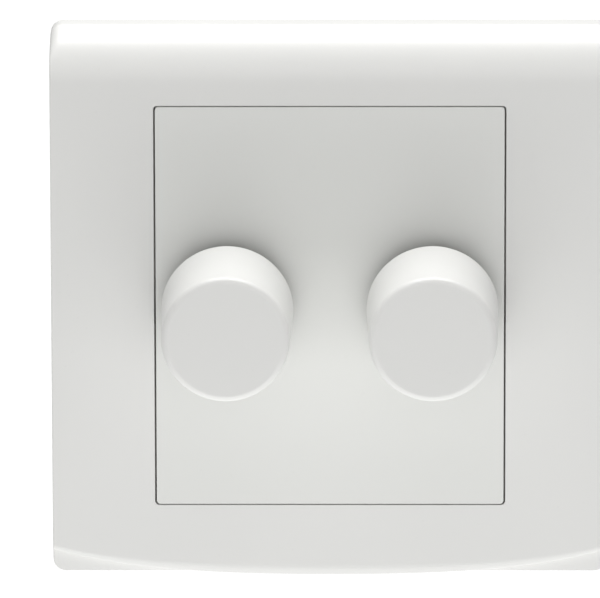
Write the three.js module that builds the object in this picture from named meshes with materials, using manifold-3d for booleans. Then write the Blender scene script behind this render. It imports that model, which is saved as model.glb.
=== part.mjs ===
// Two-gang rotary dimmer switch on a square wall plate.
// Millimetres, +Z up. The origin is on the wall, behind the middle of the centre panel. +X is right and
// +Y goes into the wall, so the front faces -Y and every depth below is a Y position.

import * as THREE from 'three';
import { mergeVertices } from 'three/addons/utils/BufferGeometryUtils.js';
import Module from 'manifold-3d';

const wasm = await Module();
wasm.setup();

// ---------------------------------------------------------------------------------------------
// Driving dimensions
// ---------------------------------------------------------------------------------------------

const CONTACT = 0.1;      // gap kept between pieces that touch
const PAST = 1;           // how far a cutting tool runs past a face

const PLATE = { side: 86, rise: 0.3, front: -9, corner: 2, wall: 1.8, skin: 1.5 };
const ROLL = { radius: 8.6, start: 34.9, sweep: 68, shoulder: -3.3 };
const LIP = { radius: 290, low: -43.35, thick: 1.6, top: -20 };
const FACET = { top: -38, front: -8.4, rear: -7.5 };
const HOOK = { x: 20, half: 3.9, front: -1.6, rear: -0.6, reach: 1.1, slack: 0.4 };

const PANEL = { width: 53.7, height: 63.1, corner: 0.5, thick: 1.8, skirt: 1.3, skirtEnd: -4.6, hole: 7.5 };
const OPENING = { width: PANEL.width + 0.7, height: PANEL.height + 0.8, corner: 0.6 };

const BASE = { side: 81, corner: 3, front: -3.2, thick: 2, wall: 1.6 };
const RING = { front: -7.3, width: 60, height: 70, corner: 2.5, clear: 0.3 };
const WEB = { front: -4.4, rear: -2.4 };
const POCKET = { inner: 26.9, outer: 34.4, half: 3.15 };

const WALL_SCREW = {
  x: 30.15, head: 3, headDepth: 2.2, shank: 1.75, length: 25, hole: 2.1, pad: 4.4, slotWidth: 0.9,
  slotDepth: 1,
};
const HOUSING_SCREW = {
  head: 2.7, headDepth: 1.6, shank: 1.1, tip: -3, pilot: 1.2, slotWidth: 0.8, slotDepth: 0.9,
};
const CROSS_REACH = 0.6;  // share of the head that a crossed slot reaches over
const BOSS = { radius: 2.8, rear: 1.5 };
const POST = { x: 20.8, z: 24.3, radius: 3.2, hole: 1.5, sinkRadius: 2.9, sinkDepth: 1.75 };

const SINK = { width: 46, height: 53, front: -2.3, rear: -0.8, notch: 8, hole: 5.1 };
const HOUSING = { width: 51, height: 58, corner: 3, wall: 1.5, front: -2.3, rear: 25.5 };
const STEP = { z: -15.5, rear: 19.4 };
const VENT = { count: 7, pitch: 5, width: 1.8, bottom: 8, top: 22 };
const RIB = { inner: 22, bottom: 8, top: 12 };
const BOARD = { width: 46.5, height: 53.5, corner: 0.8, front: 16, rear: 17.6, notch: 6.4 };

const CONTROL = { x: 15.8, z: 0 };
const SHAFT = { radius: 3, front: -27, rear: 9.6, flat: 1.6, frontFlatEnd: -11.5 };
const COLLAR = { radius: 4, front: 0.55, rear: 1.5 };
const BUSH = { radius: 5, bore: 3.1, front: -8.4, flange: 7, flangeFront: -0.7, rear: 0.4 };
const WASHER = { bore: 5.15, radius: 6.6, front: -5.05, rear: -4.45 };
const NUT = { flats: 12, bore: 5.1, front: -7.1, rear: -5.1 };
const KNOB = { front: -30.2, rear: -11.3, frontRadius: 9.8, rearRadius: 10.2, fillet: 1, wall: 1.6, face: 2 };
const HUB = { radius: 4.5, bore: 3.1, boreEnd: -27.2, rear: -12.1 };
const CLIP = { bore: 4.6, radius: 5.2, front: -14.4, rear: -13.2, mouth: 1.5 };

const POT = { radius: 8, front: 0.5, rear: 8.5, wall: 0.8, frontHole: 4.6, rearHole: 3.5, rearWall: 0.6 };
const TRACK = { bore: 4.2, radius: 7, front: 7.2, rear: 7.8, gap: 1.5 };
const ROTOR = { radius: 6.6, bore: 3.1, front: 3.6, rear: 5.5, clear: 0.1 };
const WIPER = { inner: 3.6, outer: 6.2, half: 1.2, thick: 0.25 };
const SWITCH = { radius: 6.5, front: 8.6, rear: 15.8, wall: 0.8, side: 1, hole: 3.5 };
const PLUNGER = { radius: 5.1, front: 9.75, rear: 11.2, stem: 1.6, stemEnd: 12.8 };
const SPRING = { radius: 3.2, wire: 0.25, turns: 3.5, front: 11.55, rear: 14.65 };

const CHOKE = {
  x: 12.3, z: 17.6, bore: 3.4, radius: 6, front: 9.9, rear: 15.2, wire: 0.9, endWire: 0.6, slack: 0.1,
};
const CAPACITOR = { x: 12, z: -17, width: 17, height: 7.5, corner: 0.8, front: 2.8, rear: 15.9 };
const TRIAC = { x: 8.5, half: 5, front: -0.65, tabRear: 0.65, bodyRear: 3.85 };
const TRIAC_BODY = { bottom: 10.5, neck: 19.5, top: 26 };
const LEAD = { pitch: 2.54, half: 0.4, y: 2.3, z: 9.4, thick: 0.6 };
const TRIAC_SCREW = {
  z: 23, head: 2.75, headDepth: 1.8, shank: 1.3, tip: -2.2, tabHole: 1.7, hole: 1.45, slotWidth: 0.8,
  slotDepth: 0.9,
};
const FUSE = { x: 12, y: 19.6, z: 5, length: 10, radius: 1.8, neck: 1.6, cap: 2.2 };

const BLOCK = { half: 17.4, front: 17.7, rear: 29.5, bottom: -27, top: -17.2, slack: 0.15 };
const POLE = { count: 4, pitch: 8.2, half: 3.3, front: 19.4, rear: 26.8, top: -20, screwHole: 2.6, z: -23.5 };
const CLAMP = { half: 3.1, front: 19.5, rear: 26.7, bottom: -26.8, top: -20.2 };
const WIRE_HOLE = { half: 2.2, front: 20.4, rear: 24.8 };
const CLAMP_SCREW = {
  head: 2.4, shank: 1.5, hole: 1.7, tip: 24.9, neck: 27.1, rear: 29.2, slotWidth: 0.8, slotDepth: 1,
};

// ---------------------------------------------------------------------------------------------
// Finishes
// ---------------------------------------------------------------------------------------------

const FINISHES = {
  whiteMoulding: { color: 0xe3e3e0, roughness: 0.42, metalness: 0 },
  greyMoulding: { color: 0xc9c8c2, roughness: 0.55, metalness: 0 },
  blackMoulding: { color: 0x26262a, roughness: 0.5, metalness: 0 },
  blueMoulding: { color: 0x2f5f9e, roughness: 0.4, metalness: 0 },
  redFilm: { color: 0x8e3022, roughness: 0.35, metalness: 0 },
  zincSteel: { color: 0xb9bcc0, roughness: 0.35, metalness: 1 },
  springSteel: { color: 0x9a9ca0, roughness: 0.3, metalness: 1 },
  aluminium: { color: 0xb4b6b8, roughness: 0.45, metalness: 1 },
  brass: { color: 0xc8a250, roughness: 0.35, metalness: 1 },
  copperWire: { color: 0xb5652f, roughness: 0.35, metalness: 1 },
  ferrite: { color: 0x3d4440, roughness: 0.75, metalness: 0 },
  laminate: { color: 0x9c7a3c, roughness: 0.6, metalness: 0 },
  carbonTrack: { color: 0x2b2724, roughness: 0.8, metalness: 0 },
  ceramic: { color: 0xe6e0d2, roughness: 0.5, metalness: 0 },
};

// ---------------------------------------------------------------------------------------------
// Solids: every shape is a closed geometry, and join, cut and common combine them
// ---------------------------------------------------------------------------------------------

const WELD = 1e-4;
const QUARTER = Math.PI / 2;

function solidOf(geometry) {
  const bare = geometry.clone();
  bare.deleteAttribute('normal');
  bare.deleteAttribute('uv');
  const merged = mergeVertices(bare, WELD);
  const corners = merged.index.array;
  const kept = [];
  for (let i = 0; i < corners.length; i += 3) {
    const [a, b, c] = corners.slice(i, i + 3);
    const flat = a === b || b === c || c === a;
    if (!flat) kept.push(a, b, c);
  }
  return new wasm.Manifold(new wasm.Mesh({
    numProp: 3,
    vertProperties: new Float32Array(merged.attributes.position.array),
    triVerts: new Uint32Array(kept),
  }));
}

function geometryOf(solid) {
  const mesh = solid.getMesh();
  const geometry = new THREE.BufferGeometry();
  geometry.setAttribute('position', new THREE.BufferAttribute(mesh.vertProperties, 3));
  geometry.setIndex(new THREE.BufferAttribute(mesh.triVerts, 1));
  geometry.computeVertexNormals();
  return geometry;
}

function join(first, ...others) {
  return geometryOf(others.reduce((solid, other) => solid.add(solidOf(other)), solidOf(first)));
}

function cut(first, ...tools) {
  return geometryOf(tools.reduce((solid, tool) => solid.subtract(solidOf(tool)), solidOf(first)));
}

function common(first, other) {
  return geometryOf(solidOf(first).intersect(solidOf(other)));
}

// Box between two positions on each axis.
function block(x0, x1, y0, y1, z0, z1) {
  const geometry = new THREE.BoxGeometry(x1 - x0, y1 - y0, z1 - z0);
  return geometry.translate((x0 + x1) / 2, (y0 + y1) / 2, (z0 + z1) / 2);
}

// Outline in X and Z, pushed along Y from front to rear.
function slab(outline, front, rear, curveSegments = 2) {
  const geometry = new THREE.ExtrudeGeometry(outline, {
    depth: rear - front, bevelEnabled: false, curveSegments,
  });
  return geometry.rotateX(QUARTER).translate(0, rear, 0);
}

// Outline in Y and Z, pushed along X and centred on it.
function bar(outline, width, curveSegments = 4) {
  const geometry = new THREE.ExtrudeGeometry(outline, {
    depth: width, bevelEnabled: false, curveSegments,
  });
  const turn = new THREE.Matrix4().makeBasis(
    new THREE.Vector3(0, 1, 0), new THREE.Vector3(0, 0, 1), new THREE.Vector3(1, 0, 0));
  return geometry.applyMatrix4(turn).translate(-width / 2, 0, 0);
}

// Profile of [radius, y] points turned about the Y axis.
function turned(profile, sides = 18) {
  const points = profile.map(([radius, y]) => new THREE.Vector2(radius, y));
  return geometryOf(solidOf(new THREE.LatheGeometry(points, sides)));
}

function rod(radius, front, rear, sides) {
  return turned([[0, front], [radius, front], [radius, rear], [0, rear]], sides);
}

function ring(bore, radius, front, rear, sides) {
  return turned([[bore, front], [radius, front], [radius, rear], [bore, rear], [bore, front]], sides);
}

function roundedRect(width, height, radius) {
  const w = width / 2 - radius;
  const h = height / 2 - radius;
  const outline = new THREE.Shape();
  outline.absarc(w, -h, radius, -QUARTER, 0);
  outline.absarc(w, h, radius, 0, QUARTER);
  outline.absarc(-w, h, radius, QUARTER, 2 * QUARTER);
  outline.absarc(-w, -h, radius, 2 * QUARTER, 3 * QUARTER);
  outline.closePath();
  return outline;
}

function polygon(points) {
  return new THREE.Shape(points.map(([x, y]) => new THREE.Vector2(x, y)));
}

// The same tool on the left and the right, or in all four corners.
function bothSides(make, x) {
  return [-x, x].map((side) => make().translate(side, 0, 0));
}

// The same hole on both control axes.
function bothControls(radius, front, rear, sides) {
  return bothSides(() => rod(radius, front - PAST, rear + PAST, sides).translate(0, 0, CONTROL.z), CONTROL.x);
}

function fourCorners(make, x, z) {
  return [-z, z].flatMap((height) => [-x, x].map((side) => make(height).translate(side, 0, height)));
}

// ---------------------------------------------------------------------------------------------
// Wall plate mouldings
// ---------------------------------------------------------------------------------------------

// Side outline of the frame, in Y and Z, with its rolled top and its sloped lower corners.
function frameSide() {
  const half = PLATE.side / 2;
  const outline = new THREE.Shape();
  outline.moveTo(0, -half);
  outline.lineTo(0, half);
  outline.lineTo(ROLL.shoulder, half);
  const end = THREE.MathUtils.degToRad(180 - ROLL.sweep);
  outline.absarc(PLATE.front + ROLL.radius, ROLL.start, ROLL.radius, end, Math.PI);
  outline.lineTo(PLATE.front, LIP.top);
  outline.lineTo(FACET.front, LIP.top);
  outline.lineTo(FACET.front, FACET.top);
  outline.lineTo(FACET.rear, -half);
  outline.closePath();
  return outline;
}

// Front layer of the frame, whose lower edge is one long shallow arc.
function lipOutline() {
  const half = PLATE.side / 2;
  const centre = LIP.low + LIP.radius;
  const spread = Math.asin(half / LIP.radius);
  const outline = new THREE.Shape();
  outline.moveTo(half, LIP.top);
  outline.lineTo(-half, LIP.top);
  outline.absarc(0, centre, LIP.radius, -QUARTER - spread, -QUARTER + spread);
  outline.closePath();
  return outline;
}

function frameCavity() {
  const half = PLATE.side / 2 - PLATE.wall;
  const front = PLATE.front + PLATE.skin;
  const radius = ROLL.radius - PLATE.skin;
  const rise = Math.acos((half - ROLL.start) / radius);
  const outline = new THREE.Shape();
  outline.moveTo(PAST, -half);
  outline.lineTo(PAST, half);
  outline.absarc(PLATE.front + ROLL.radius, ROLL.start, radius, QUARTER + rise, Math.PI);
  outline.lineTo(front, FACET.top + PLATE.skin);
  outline.lineTo(FACET.rear + PLATE.skin, -half);
  outline.closePath();
  const inner = slab(roundedRect(2 * half, 2 * half, PLATE.corner / 2), PLATE.front, 2 * PAST);
  return common(bar(outline, 2 * half, 3), inner);
}

function frameHook(sign) {
  const wall = PLATE.side / 2 - PLATE.wall;
  const ends = [sign * (wall - HOOK.reach), sign * (wall + PLATE.wall / 2)].sort((a, b) => a - b);
  return block(-HOOK.half, HOOK.half, HOOK.front, HOOK.rear, ...ends);
}

function frontFrame() {
  const face = slab(roundedRect(PLATE.side, PLATE.side, PLATE.corner), PLATE.front, 0);
  const body = common(bar(frameSide(), PLATE.side), face);
  const lipReach = slab(roundedRect(PLATE.side, 2 * -LIP.low, PLATE.corner), PLATE.front, 0);
  const lip = common(slab(lipOutline(), PLATE.front, PLATE.front + LIP.thick, 8), lipReach);
  const opening = roundedRect(OPENING.width, OPENING.height, OPENING.corner);
  const outside = join(body, lip).translate(0, 0, PLATE.rise);
  const window = slab(opening, PLATE.front - PAST, PLATE.front + 2 * PLATE.skin, 1);
  const shell = cut(outside, frameCavity(), window);
  const hooks = [-1, 1].flatMap((sign) => bothSides(() => frameHook(sign), HOOK.x));
  return join(shell, ...hooks);
}

function centrePanel() {
  const outline = (inset) => roundedRect(PANEL.width - 2 * inset, PANEL.height - 2 * inset, PANEL.corner);
  const floor = PLATE.front + PANEL.thick;
  const cup = slab(outline(0), PLATE.front, PANEL.skirtEnd, 1);
  const hollow = slab(outline(PANEL.skirt), floor, PANEL.skirtEnd + PAST, 1);
  return cut(cup, hollow, ...bothControls(PANEL.hole, PLATE.front, floor, 24));
}

function supportBase() {
  const trayRear = BASE.front + BASE.thick;
  const inside = BASE.side - 2 * BASE.wall;
  const well = roundedRect(PANEL.width + RING.clear, PANEL.height + RING.clear, OPENING.corner);
  const tray = cut(
    slab(roundedRect(BASE.side, BASE.side, BASE.corner), BASE.front, 0),
    slab(roundedRect(inside, inside, BASE.corner - BASE.wall), trayRear, PAST));
  const rim = slab(roundedRect(RING.width, RING.height, RING.corner), RING.front, trayRear);
  const dished = cut(
    join(tray, rim),
    slab(well, RING.front - PAST, WEB.front, 1),
    slab(well, WEB.rear, PAST, 1));
  const pad = () => rod(WALL_SCREW.pad, trayRear - CONTACT, 0, 16);
  const boss = () => rod(BOSS.radius, WEB.rear - CONTACT, BOSS.rear, 12);
  const solid = join(dished, ...bothSides(pad, WALL_SCREW.x), ...fourCorners(boss, POST.x, POST.z));
  const pocketMiddle = (POCKET.inner + POCKET.outer) / 2;
  const pocketHalf = (POCKET.outer - POCKET.inner) / 2;
  const pocket = () => block(-pocketHalf, pocketHalf, RING.front - PAST, BASE.front,
    -POCKET.half, POCKET.half);
  const screwHole = () => rod(WALL_SCREW.hole, BASE.front - PAST, PAST, 12);
  const pilot = () => rod(HOUSING_SCREW.pilot, HOUSING_SCREW.tip - CONTACT, BOSS.rear + PAST, 12);
  const half = BASE.side / 2;
  const catchWindow = (sign) => {
    const ends = [sign * (half - BASE.wall / 2), sign * (half + PAST)].sort((a, b) => a - b);
    const reach = HOOK.half + HOOK.slack;
    return block(-reach, reach, HOOK.front - HOOK.slack, HOOK.rear + HOOK.slack / 2, ...ends);
  };
  const catches = [-1, 1].flatMap((sign) => bothSides(() => catchWindow(sign), HOOK.x));
  return cut(
    solid,
    ...bothSides(pocket, pocketMiddle),
    ...bothSides(screwHole, WALL_SCREW.x),
    ...bothControls(SINK.hole + CONTACT, WEB.front, WEB.rear),
    ...fourCorners(pilot, POST.x, POST.z),
    ...catches);
}

// ---------------------------------------------------------------------------------------------
// Rear housing, heat sink and circuit board
// ---------------------------------------------------------------------------------------------

function rearHousing() {
  const { width, height, wall } = HOUSING;
  const wide = width + 2 * PAST;
  const below = -height / 2 - PAST;
  const shell = cut(
    slab(roundedRect(width, height, HOUSING.corner), HOUSING.front, HOUSING.rear),
    block(-wide, wide, STEP.rear, HOUSING.rear + PAST, below, STEP.z));
  const cavity = cut(
    slab(roundedRect(width - 2 * wall, height - 2 * wall, HOUSING.corner - wall), HOUSING.front - PAST,
      HOUSING.rear - wall),
    block(-wide, wide, STEP.rear - wall, HOUSING.rear + PAST, below, STEP.z + wall));
  const rearAt = (z) => (z < 0 ? STEP.rear : HOUSING.rear);
  const post = (z) => rod(POST.radius, BOSS.rear + CONTACT, rearAt(z) - wall / 2, 16);
  const cornerX = [POST.x, width / 2 - wall / 2];
  const cornerZ = [POST.z, height / 2 - wall / 2];
  const corners = [-1, 1].flatMap((sx) => [-1, 1].map((sz) => {
    const xs = cornerX.map((x) => sx * x).sort((a, b) => a - b);
    const zs = cornerZ.map((z) => sz * z).sort((a, b) => a - b);
    return block(...xs, BOSS.rear + CONTACT, rearAt(sz) - wall / 2, ...zs);
  }));
  const rib = () => block(RIB.inner, width / 2 - wall / 2, BOARD.rear + 2 * CONTACT, HOUSING.rear - wall / 2,
    RIB.bottom, RIB.top);
  const ribs = [rib(), rib().translate(-RIB.inner - width / 2 + wall / 2, 0, 0)];
  const body = join(cut(shell, cavity), ...fourCorners(post, POST.x, POST.z), ...corners, ...ribs);
  const through = () => rod(POST.hole, 0, HOUSING.rear + PAST, 12);
  const sink = (z) => rod(POST.sinkRadius, rearAt(z) - POST.sinkDepth, rearAt(z) + PAST, 16);
  const door = block(-BLOCK.half - BLOCK.slack, BLOCK.half + BLOCK.slack, STEP.rear - wall - PAST,
    STEP.rear + PAST, BLOCK.bottom - BLOCK.slack, BLOCK.top + BLOCK.slack);
  const vents = Array.from({ length: VENT.count }, (_, i) => {
    const x = (i - (VENT.count - 1) / 2) * VENT.pitch;
    return block(x - VENT.width / 2, x + VENT.width / 2, HOUSING.rear - wall - PAST, HOUSING.rear + PAST,
      VENT.bottom, VENT.top);
  });
  return cut(body, ...fourCorners(through, POST.x, POST.z), ...fourCorners(sink, POST.x, POST.z), door,
    ...vents);
}

// Plate with its four corners notched.
function notched(width, height, corner, notch, front, rear) {
  const tool = () => block(-notch, notch, front - PAST, rear + PAST, -notch, notch);
  return cut(slab(roundedRect(width, height, corner), front, rear, 1),
    ...fourCorners(tool, width / 2, height / 2));
}

function heatSinkPlate() {
  const plate = notched(SINK.width, SINK.height, BOARD.corner, SINK.notch, SINK.front, SINK.rear);
  const screwHole = () => rod(TRIAC_SCREW.hole, SINK.front - PAST, SINK.rear + PAST, 12)
    .translate(0, 0, TRIAC_SCREW.z);
  return cut(plate, ...bothControls(SINK.hole, SINK.front, SINK.rear), ...bothSides(screwHole, TRIAC.x));
}

function circuitBoard() {
  return notched(BOARD.width, BOARD.height, BOARD.corner, BOARD.notch, BOARD.front, BOARD.rear);
}

// ---------------------------------------------------------------------------------------------
// Fasteners
// ---------------------------------------------------------------------------------------------

// Screw along Y. The head faces the rear when headEnd is behind neck, else the front.
function screw({ head, shank, slotWidth, slotDepth }, neck, headEnd, tip, crossed = true) {
  const back = Math.sign(headEnd - neck);
  const profile = [[0, tip], [shank, tip], [shank, neck], [head, neck], [head, headEnd], [0, headEnd]];
  const body = turned(back > 0 ? profile : profile.reverse(), 12);
  const floor = headEnd - back * slotDepth;
  const mouth = headEnd + back * PAST;
  const ys = [floor, mouth].sort((a, b) => a - b);
  const reach = crossed ? head * CROSS_REACH : head + PAST;
  const slots = [block(-reach, reach, ...ys, -slotWidth / 2, slotWidth / 2)];
  if (crossed) slots.push(block(-slotWidth / 2, slotWidth / 2, ...ys, -reach, reach));
  return cut(body, ...slots);
}

function wallScrew() {
  const neck = BASE.front - CONTACT / 2;
  return screw(WALL_SCREW, neck, neck - WALL_SCREW.headDepth, neck + WALL_SCREW.length);
}

function housingScrew(rear) {
  const neck = rear - POST.sinkDepth + CONTACT / 2;
  return screw(HOUSING_SCREW, neck, neck + HOUSING_SCREW.headDepth, HOUSING_SCREW.tip);
}

function triacScrew() {
  const neck = TRIAC.tabRear + CONTACT;
  return screw(TRIAC_SCREW, neck, neck + TRIAC_SCREW.headDepth, TRIAC_SCREW.tip);
}

function terminalScrew() {
  return screw(CLAMP_SCREW, CLAMP_SCREW.neck, CLAMP_SCREW.rear, CLAMP_SCREW.tip, false);
}

// ---------------------------------------------------------------------------------------------
// One dimmer control, on its own axis
// ---------------------------------------------------------------------------------------------

// Rod with a flat on its +X side, as a D shaft or the tool for a D bore.
function flattedRod(radius, front, rear, flat) {
  const side = block(flat, radius + PAST, front - PAST, rear + PAST, -radius, radius);
  return cut(rod(radius, front, rear), side);
}

function knob() {
  const { front, rear, frontRadius, rearRadius, fillet, wall, face } = KNOB;
  const steps = 3;
  const edge = Array.from({ length: steps + 1 }, (_, i) => {
    const angle = (i / steps) * QUARTER;
    return [frontRadius - fillet + fillet * Math.sin(angle), front + fillet - fillet * Math.cos(angle)];
  });
  const inside = front + face;
  const body = turned([
    [0, front], ...edge, [rearRadius, rear], [rearRadius - wall, rear], [frontRadius - wall, inside],
    [HUB.radius, inside], [HUB.radius, HUB.rear], [0, HUB.rear],
  ], 32);
  return cut(body, flattedRod(HUB.bore, HUB.boreEnd, HUB.rear + PAST, SHAFT.flat + HUB.bore - SHAFT.radius));
}

function knobClip() {
  const band = ring(CLIP.bore, CLIP.radius, CLIP.front, CLIP.rear);
  const mouth = block(0, CLIP.radius + PAST, CLIP.front - PAST, CLIP.rear + PAST, -CLIP.mouth, CLIP.mouth);
  return cut(band, mouth);
}

function shaft() {
  const { radius, front, rear, flat, frontFlatEnd } = SHAFT;
  const body = turned([
    [0, front], [radius, front], [radius, COLLAR.front], [COLLAR.radius, COLLAR.front],
    [COLLAR.radius, COLLAR.rear], [radius, COLLAR.rear], [radius, rear], [0, rear],
  ]);
  const side = (from, to) => block(flat, radius + PAST, from, to, -radius, radius);
  return cut(body, side(front - PAST, frontFlatEnd), side(COLLAR.rear, rear + PAST));
}

function bush() {
  const { bore, radius, front, flange, flangeFront, rear } = BUSH;
  return turned([
    [bore, front], [radius, front], [radius, flangeFront], [flange, flangeFront], [flange, rear],
    [bore, rear], [bore, front],
  ]);
}

function nut() {
  const radius = NUT.flats / 2 / Math.cos(Math.PI / 6);
  const hexagon = polygon(Array.from({ length: 6 }, (_, i) => {
    const angle = (i * Math.PI) / 3;
    return [radius * Math.cos(angle), radius * Math.sin(angle)];
  }));
  return cut(slab(hexagon, NUT.front, NUT.rear), rod(NUT.bore, NUT.front - PAST, NUT.rear + PAST));
}

function potCase() {
  const inside = POT.radius - POT.wall;
  const floor = POT.rear - POT.rearWall;
  return turned([
    [POT.frontHole, POT.front], [POT.radius, POT.front], [POT.radius, POT.rear], [POT.rearHole, POT.rear],
    [POT.rearHole, floor], [inside, floor], [inside, POT.front + POT.wall],
    [POT.frontHole, POT.front + POT.wall], [POT.frontHole, POT.front],
  ]);
}

function track() {
  const { bore, radius, front, rear, gap } = TRACK;
  return cut(ring(bore, radius, front, rear), block(-gap, gap, front - PAST, rear + PAST, -radius - PAST, 0));
}

function rotor() {
  const bore = flattedRod(ROTOR.bore, ROTOR.front - PAST, ROTOR.rear + PAST, SHAFT.flat + ROTOR.clear);
  return cut(rod(ROTOR.radius, ROTOR.front, ROTOR.rear), bore);
}

// Bent leaf on the rotor whose tip rides on the track.
function wiper() {
  const foot = ROTOR.rear + CONTACT;
  const tip = TRACK.front - CONTACT;
  const { inner, outer, thick, half } = WIPER;
  const middle = (inner + outer) / 2;
  const leaf = polygon([
    [foot, inner], [foot + thick, inner], [foot + thick, middle], [tip, outer - thick], [tip, outer],
    [tip - thick, outer], [foot, middle + thick],
  ]);
  return bar(leaf, 2 * half, 1);
}

function switchCase() {
  const inside = SWITCH.radius - SWITCH.side;
  const floor = SWITCH.rear - SWITCH.wall;
  return turned([
    [SWITCH.hole, SWITCH.front], [SWITCH.radius, SWITCH.front], [SWITCH.radius, SWITCH.rear],
    [0, SWITCH.rear], [0, floor], [inside, floor], [inside, SWITCH.front + SWITCH.wall],
    [SWITCH.hole, SWITCH.front + SWITCH.wall], [SWITCH.hole, SWITCH.front],
  ]);
}

function plunger() {
  return turned([
    [0, PLUNGER.front], [PLUNGER.radius, PLUNGER.front], [PLUNGER.radius, PLUNGER.rear],
    [PLUNGER.stem, PLUNGER.rear], [PLUNGER.stem, PLUNGER.stemEnd], [0, PLUNGER.stemEnd],
  ], 20);
}

class Helix extends THREE.Curve {
  getPoint(t) {
    const angle = 2 * Math.PI * SPRING.turns * t;
    const y = SPRING.front + (SPRING.rear - SPRING.front) * t;
    return new THREE.Vector3(SPRING.radius * Math.cos(angle), y, SPRING.radius * Math.sin(angle));
  }
}

function returnSpring() {
  const wire = new THREE.Shape();
  wire.absarc(0, 0, SPRING.wire, 0, 2 * Math.PI);
  return new THREE.ExtrudeGeometry(wire, {
    steps: 10 * SPRING.turns, curveSegments: 3, bevelEnabled: false, extrudePath: new Helix(),
  });
}

// ---------------------------------------------------------------------------------------------
// Parts on the circuit board
// ---------------------------------------------------------------------------------------------

function chokeCore() {
  return ring(CHOKE.bore, CHOKE.radius, CHOKE.front, CHOKE.rear, 20);
}

// Layer of wire wrapped round the core, open over a short stretch.
function chokeWinding() {
  const { bore, radius, front, rear, wire, endWire, slack } = CHOKE;
  const outside = wire + slack;
  const skin = ring(bore - outside, radius + outside, front - endWire, rear + endWire, 20);
  const inside = ring(bore - slack, radius + slack, front - slack, rear + slack, 20);
  const mouth = block(-2 * wire, 2 * wire, front - 2 * PAST, rear + 2 * PAST, 0, radius + 2 * PAST);
  return cut(skin, inside, mouth);
}

function capacitor() {
  const outline = roundedRect(CAPACITOR.width, CAPACITOR.height, CAPACITOR.corner);
  return slab(outline, CAPACITOR.front, CAPACITOR.rear, 1);
}

function triac() {
  const { half, front, tabRear, bodyRear } = TRIAC;
  const { bottom, neck, top } = TRIAC_BODY;
  const tab = cut(
    block(-half, half, front, tabRear, neck - PAST, top),
    rod(TRIAC_SCREW.tabHole, front - PAST, tabRear + PAST, 16).translate(0, 0, TRIAC_SCREW.z));
  const leads = [-1, 0, 1].flatMap((i) => {
    const x = i * LEAD.pitch;
    const ends = [x - LEAD.half, x + LEAD.half];
    const rise = [LEAD.y - LEAD.thick / 2, LEAD.y + LEAD.thick / 2];
    return [
      block(...ends, ...rise, LEAD.z - LEAD.thick / 2, bottom + CONTACT),
      block(...ends, rise[0], BOARD.front - CONTACT, LEAD.z - LEAD.thick / 2, LEAD.z + LEAD.thick / 2),
    ];
  });
  return join(block(-half, half, front, bodyRear, bottom, neck), tab, ...leads);
}

function fuse() {
  const half = FUSE.length / 2;
  const waist = half - FUSE.cap;
  return turned([
    [0, -half], [FUSE.radius, -half], [FUSE.radius, -waist], [FUSE.neck, -waist], [FUSE.neck, waist],
    [FUSE.radius, waist], [FUSE.radius, half], [0, half],
  ], 16).rotateZ(QUARTER);
}

// ---------------------------------------------------------------------------------------------
// Terminal block
// ---------------------------------------------------------------------------------------------

const poleX = Array.from({ length: POLE.count }, (_, i) => (i - (POLE.count - 1) / 2) * POLE.pitch);

function terminalBlock() {
  const body = block(-BLOCK.half, BLOCK.half, BLOCK.front, BLOCK.rear, BLOCK.bottom, BLOCK.top);
  const chambers = poleX.map((x) => block(x - POLE.half, x + POLE.half, POLE.front, POLE.rear,
    BLOCK.bottom - PAST, POLE.top));
  const holes = poleX.map((x) => rod(POLE.screwHole, POLE.rear - PAST, BLOCK.rear + PAST, 16)
    .translate(x, 0, POLE.z));
  return cut(body, ...chambers, ...holes);
}

function terminalClamp() {
  const { half, front, rear, bottom, top } = CLAMP;
  const wire = WIRE_HOLE;
  return cut(
    block(-half, half, front, rear, bottom, top),
    block(-wire.half, wire.half, wire.front, wire.rear, bottom - PAST, top + PAST),
    rod(CLAMP_SCREW.hole, wire.rear - PAST, rear + PAST, 12).translate(0, 0, POLE.z));
}

// ---------------------------------------------------------------------------------------------
// Assembly
// ---------------------------------------------------------------------------------------------

const dimmer = new THREE.Group();

function place(parent, name, geometry, finish, x = 0, y = 0, z = 0) {
  const mesh = new THREE.Mesh(geometry, new THREE.MeshStandardMaterial(FINISHES[finish]));
  mesh.name = name;
  mesh.position.set(x, y, z);
  parent.add(mesh);
}

place(dimmer, 'front_frame', frontFrame(), 'whiteMoulding');
place(dimmer, 'centre_panel', centrePanel(), 'whiteMoulding');
place(dimmer, 'support_base', supportBase(), 'greyMoulding');
place(dimmer, 'heat_sink_plate', heatSinkPlate(), 'aluminium');
place(dimmer, 'rear_housing', rearHousing(), 'greyMoulding');
place(dimmer, 'circuit_board', circuitBoard(), 'laminate');
place(dimmer, 'terminal_block', terminalBlock(), 'whiteMoulding');

poleX.forEach((x, i) => {
  place(dimmer, `terminal_clamp_${i + 1}`, terminalClamp(), 'brass', x);
  place(dimmer, `terminal_screw_${i + 1}`, terminalScrew(), 'zincSteel', x, 0, POLE.z);
});

[[-1, 1], [1, 1], [-1, -1], [1, -1]].forEach(([sx, sz], i) => {
  const rear = sz > 0 ? HOUSING.rear : STEP.rear;
  place(dimmer, `housing_screw_${i + 1}`, housingScrew(rear), 'zincSteel', sx * POST.x, 0, sz * POST.z);
});

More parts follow.
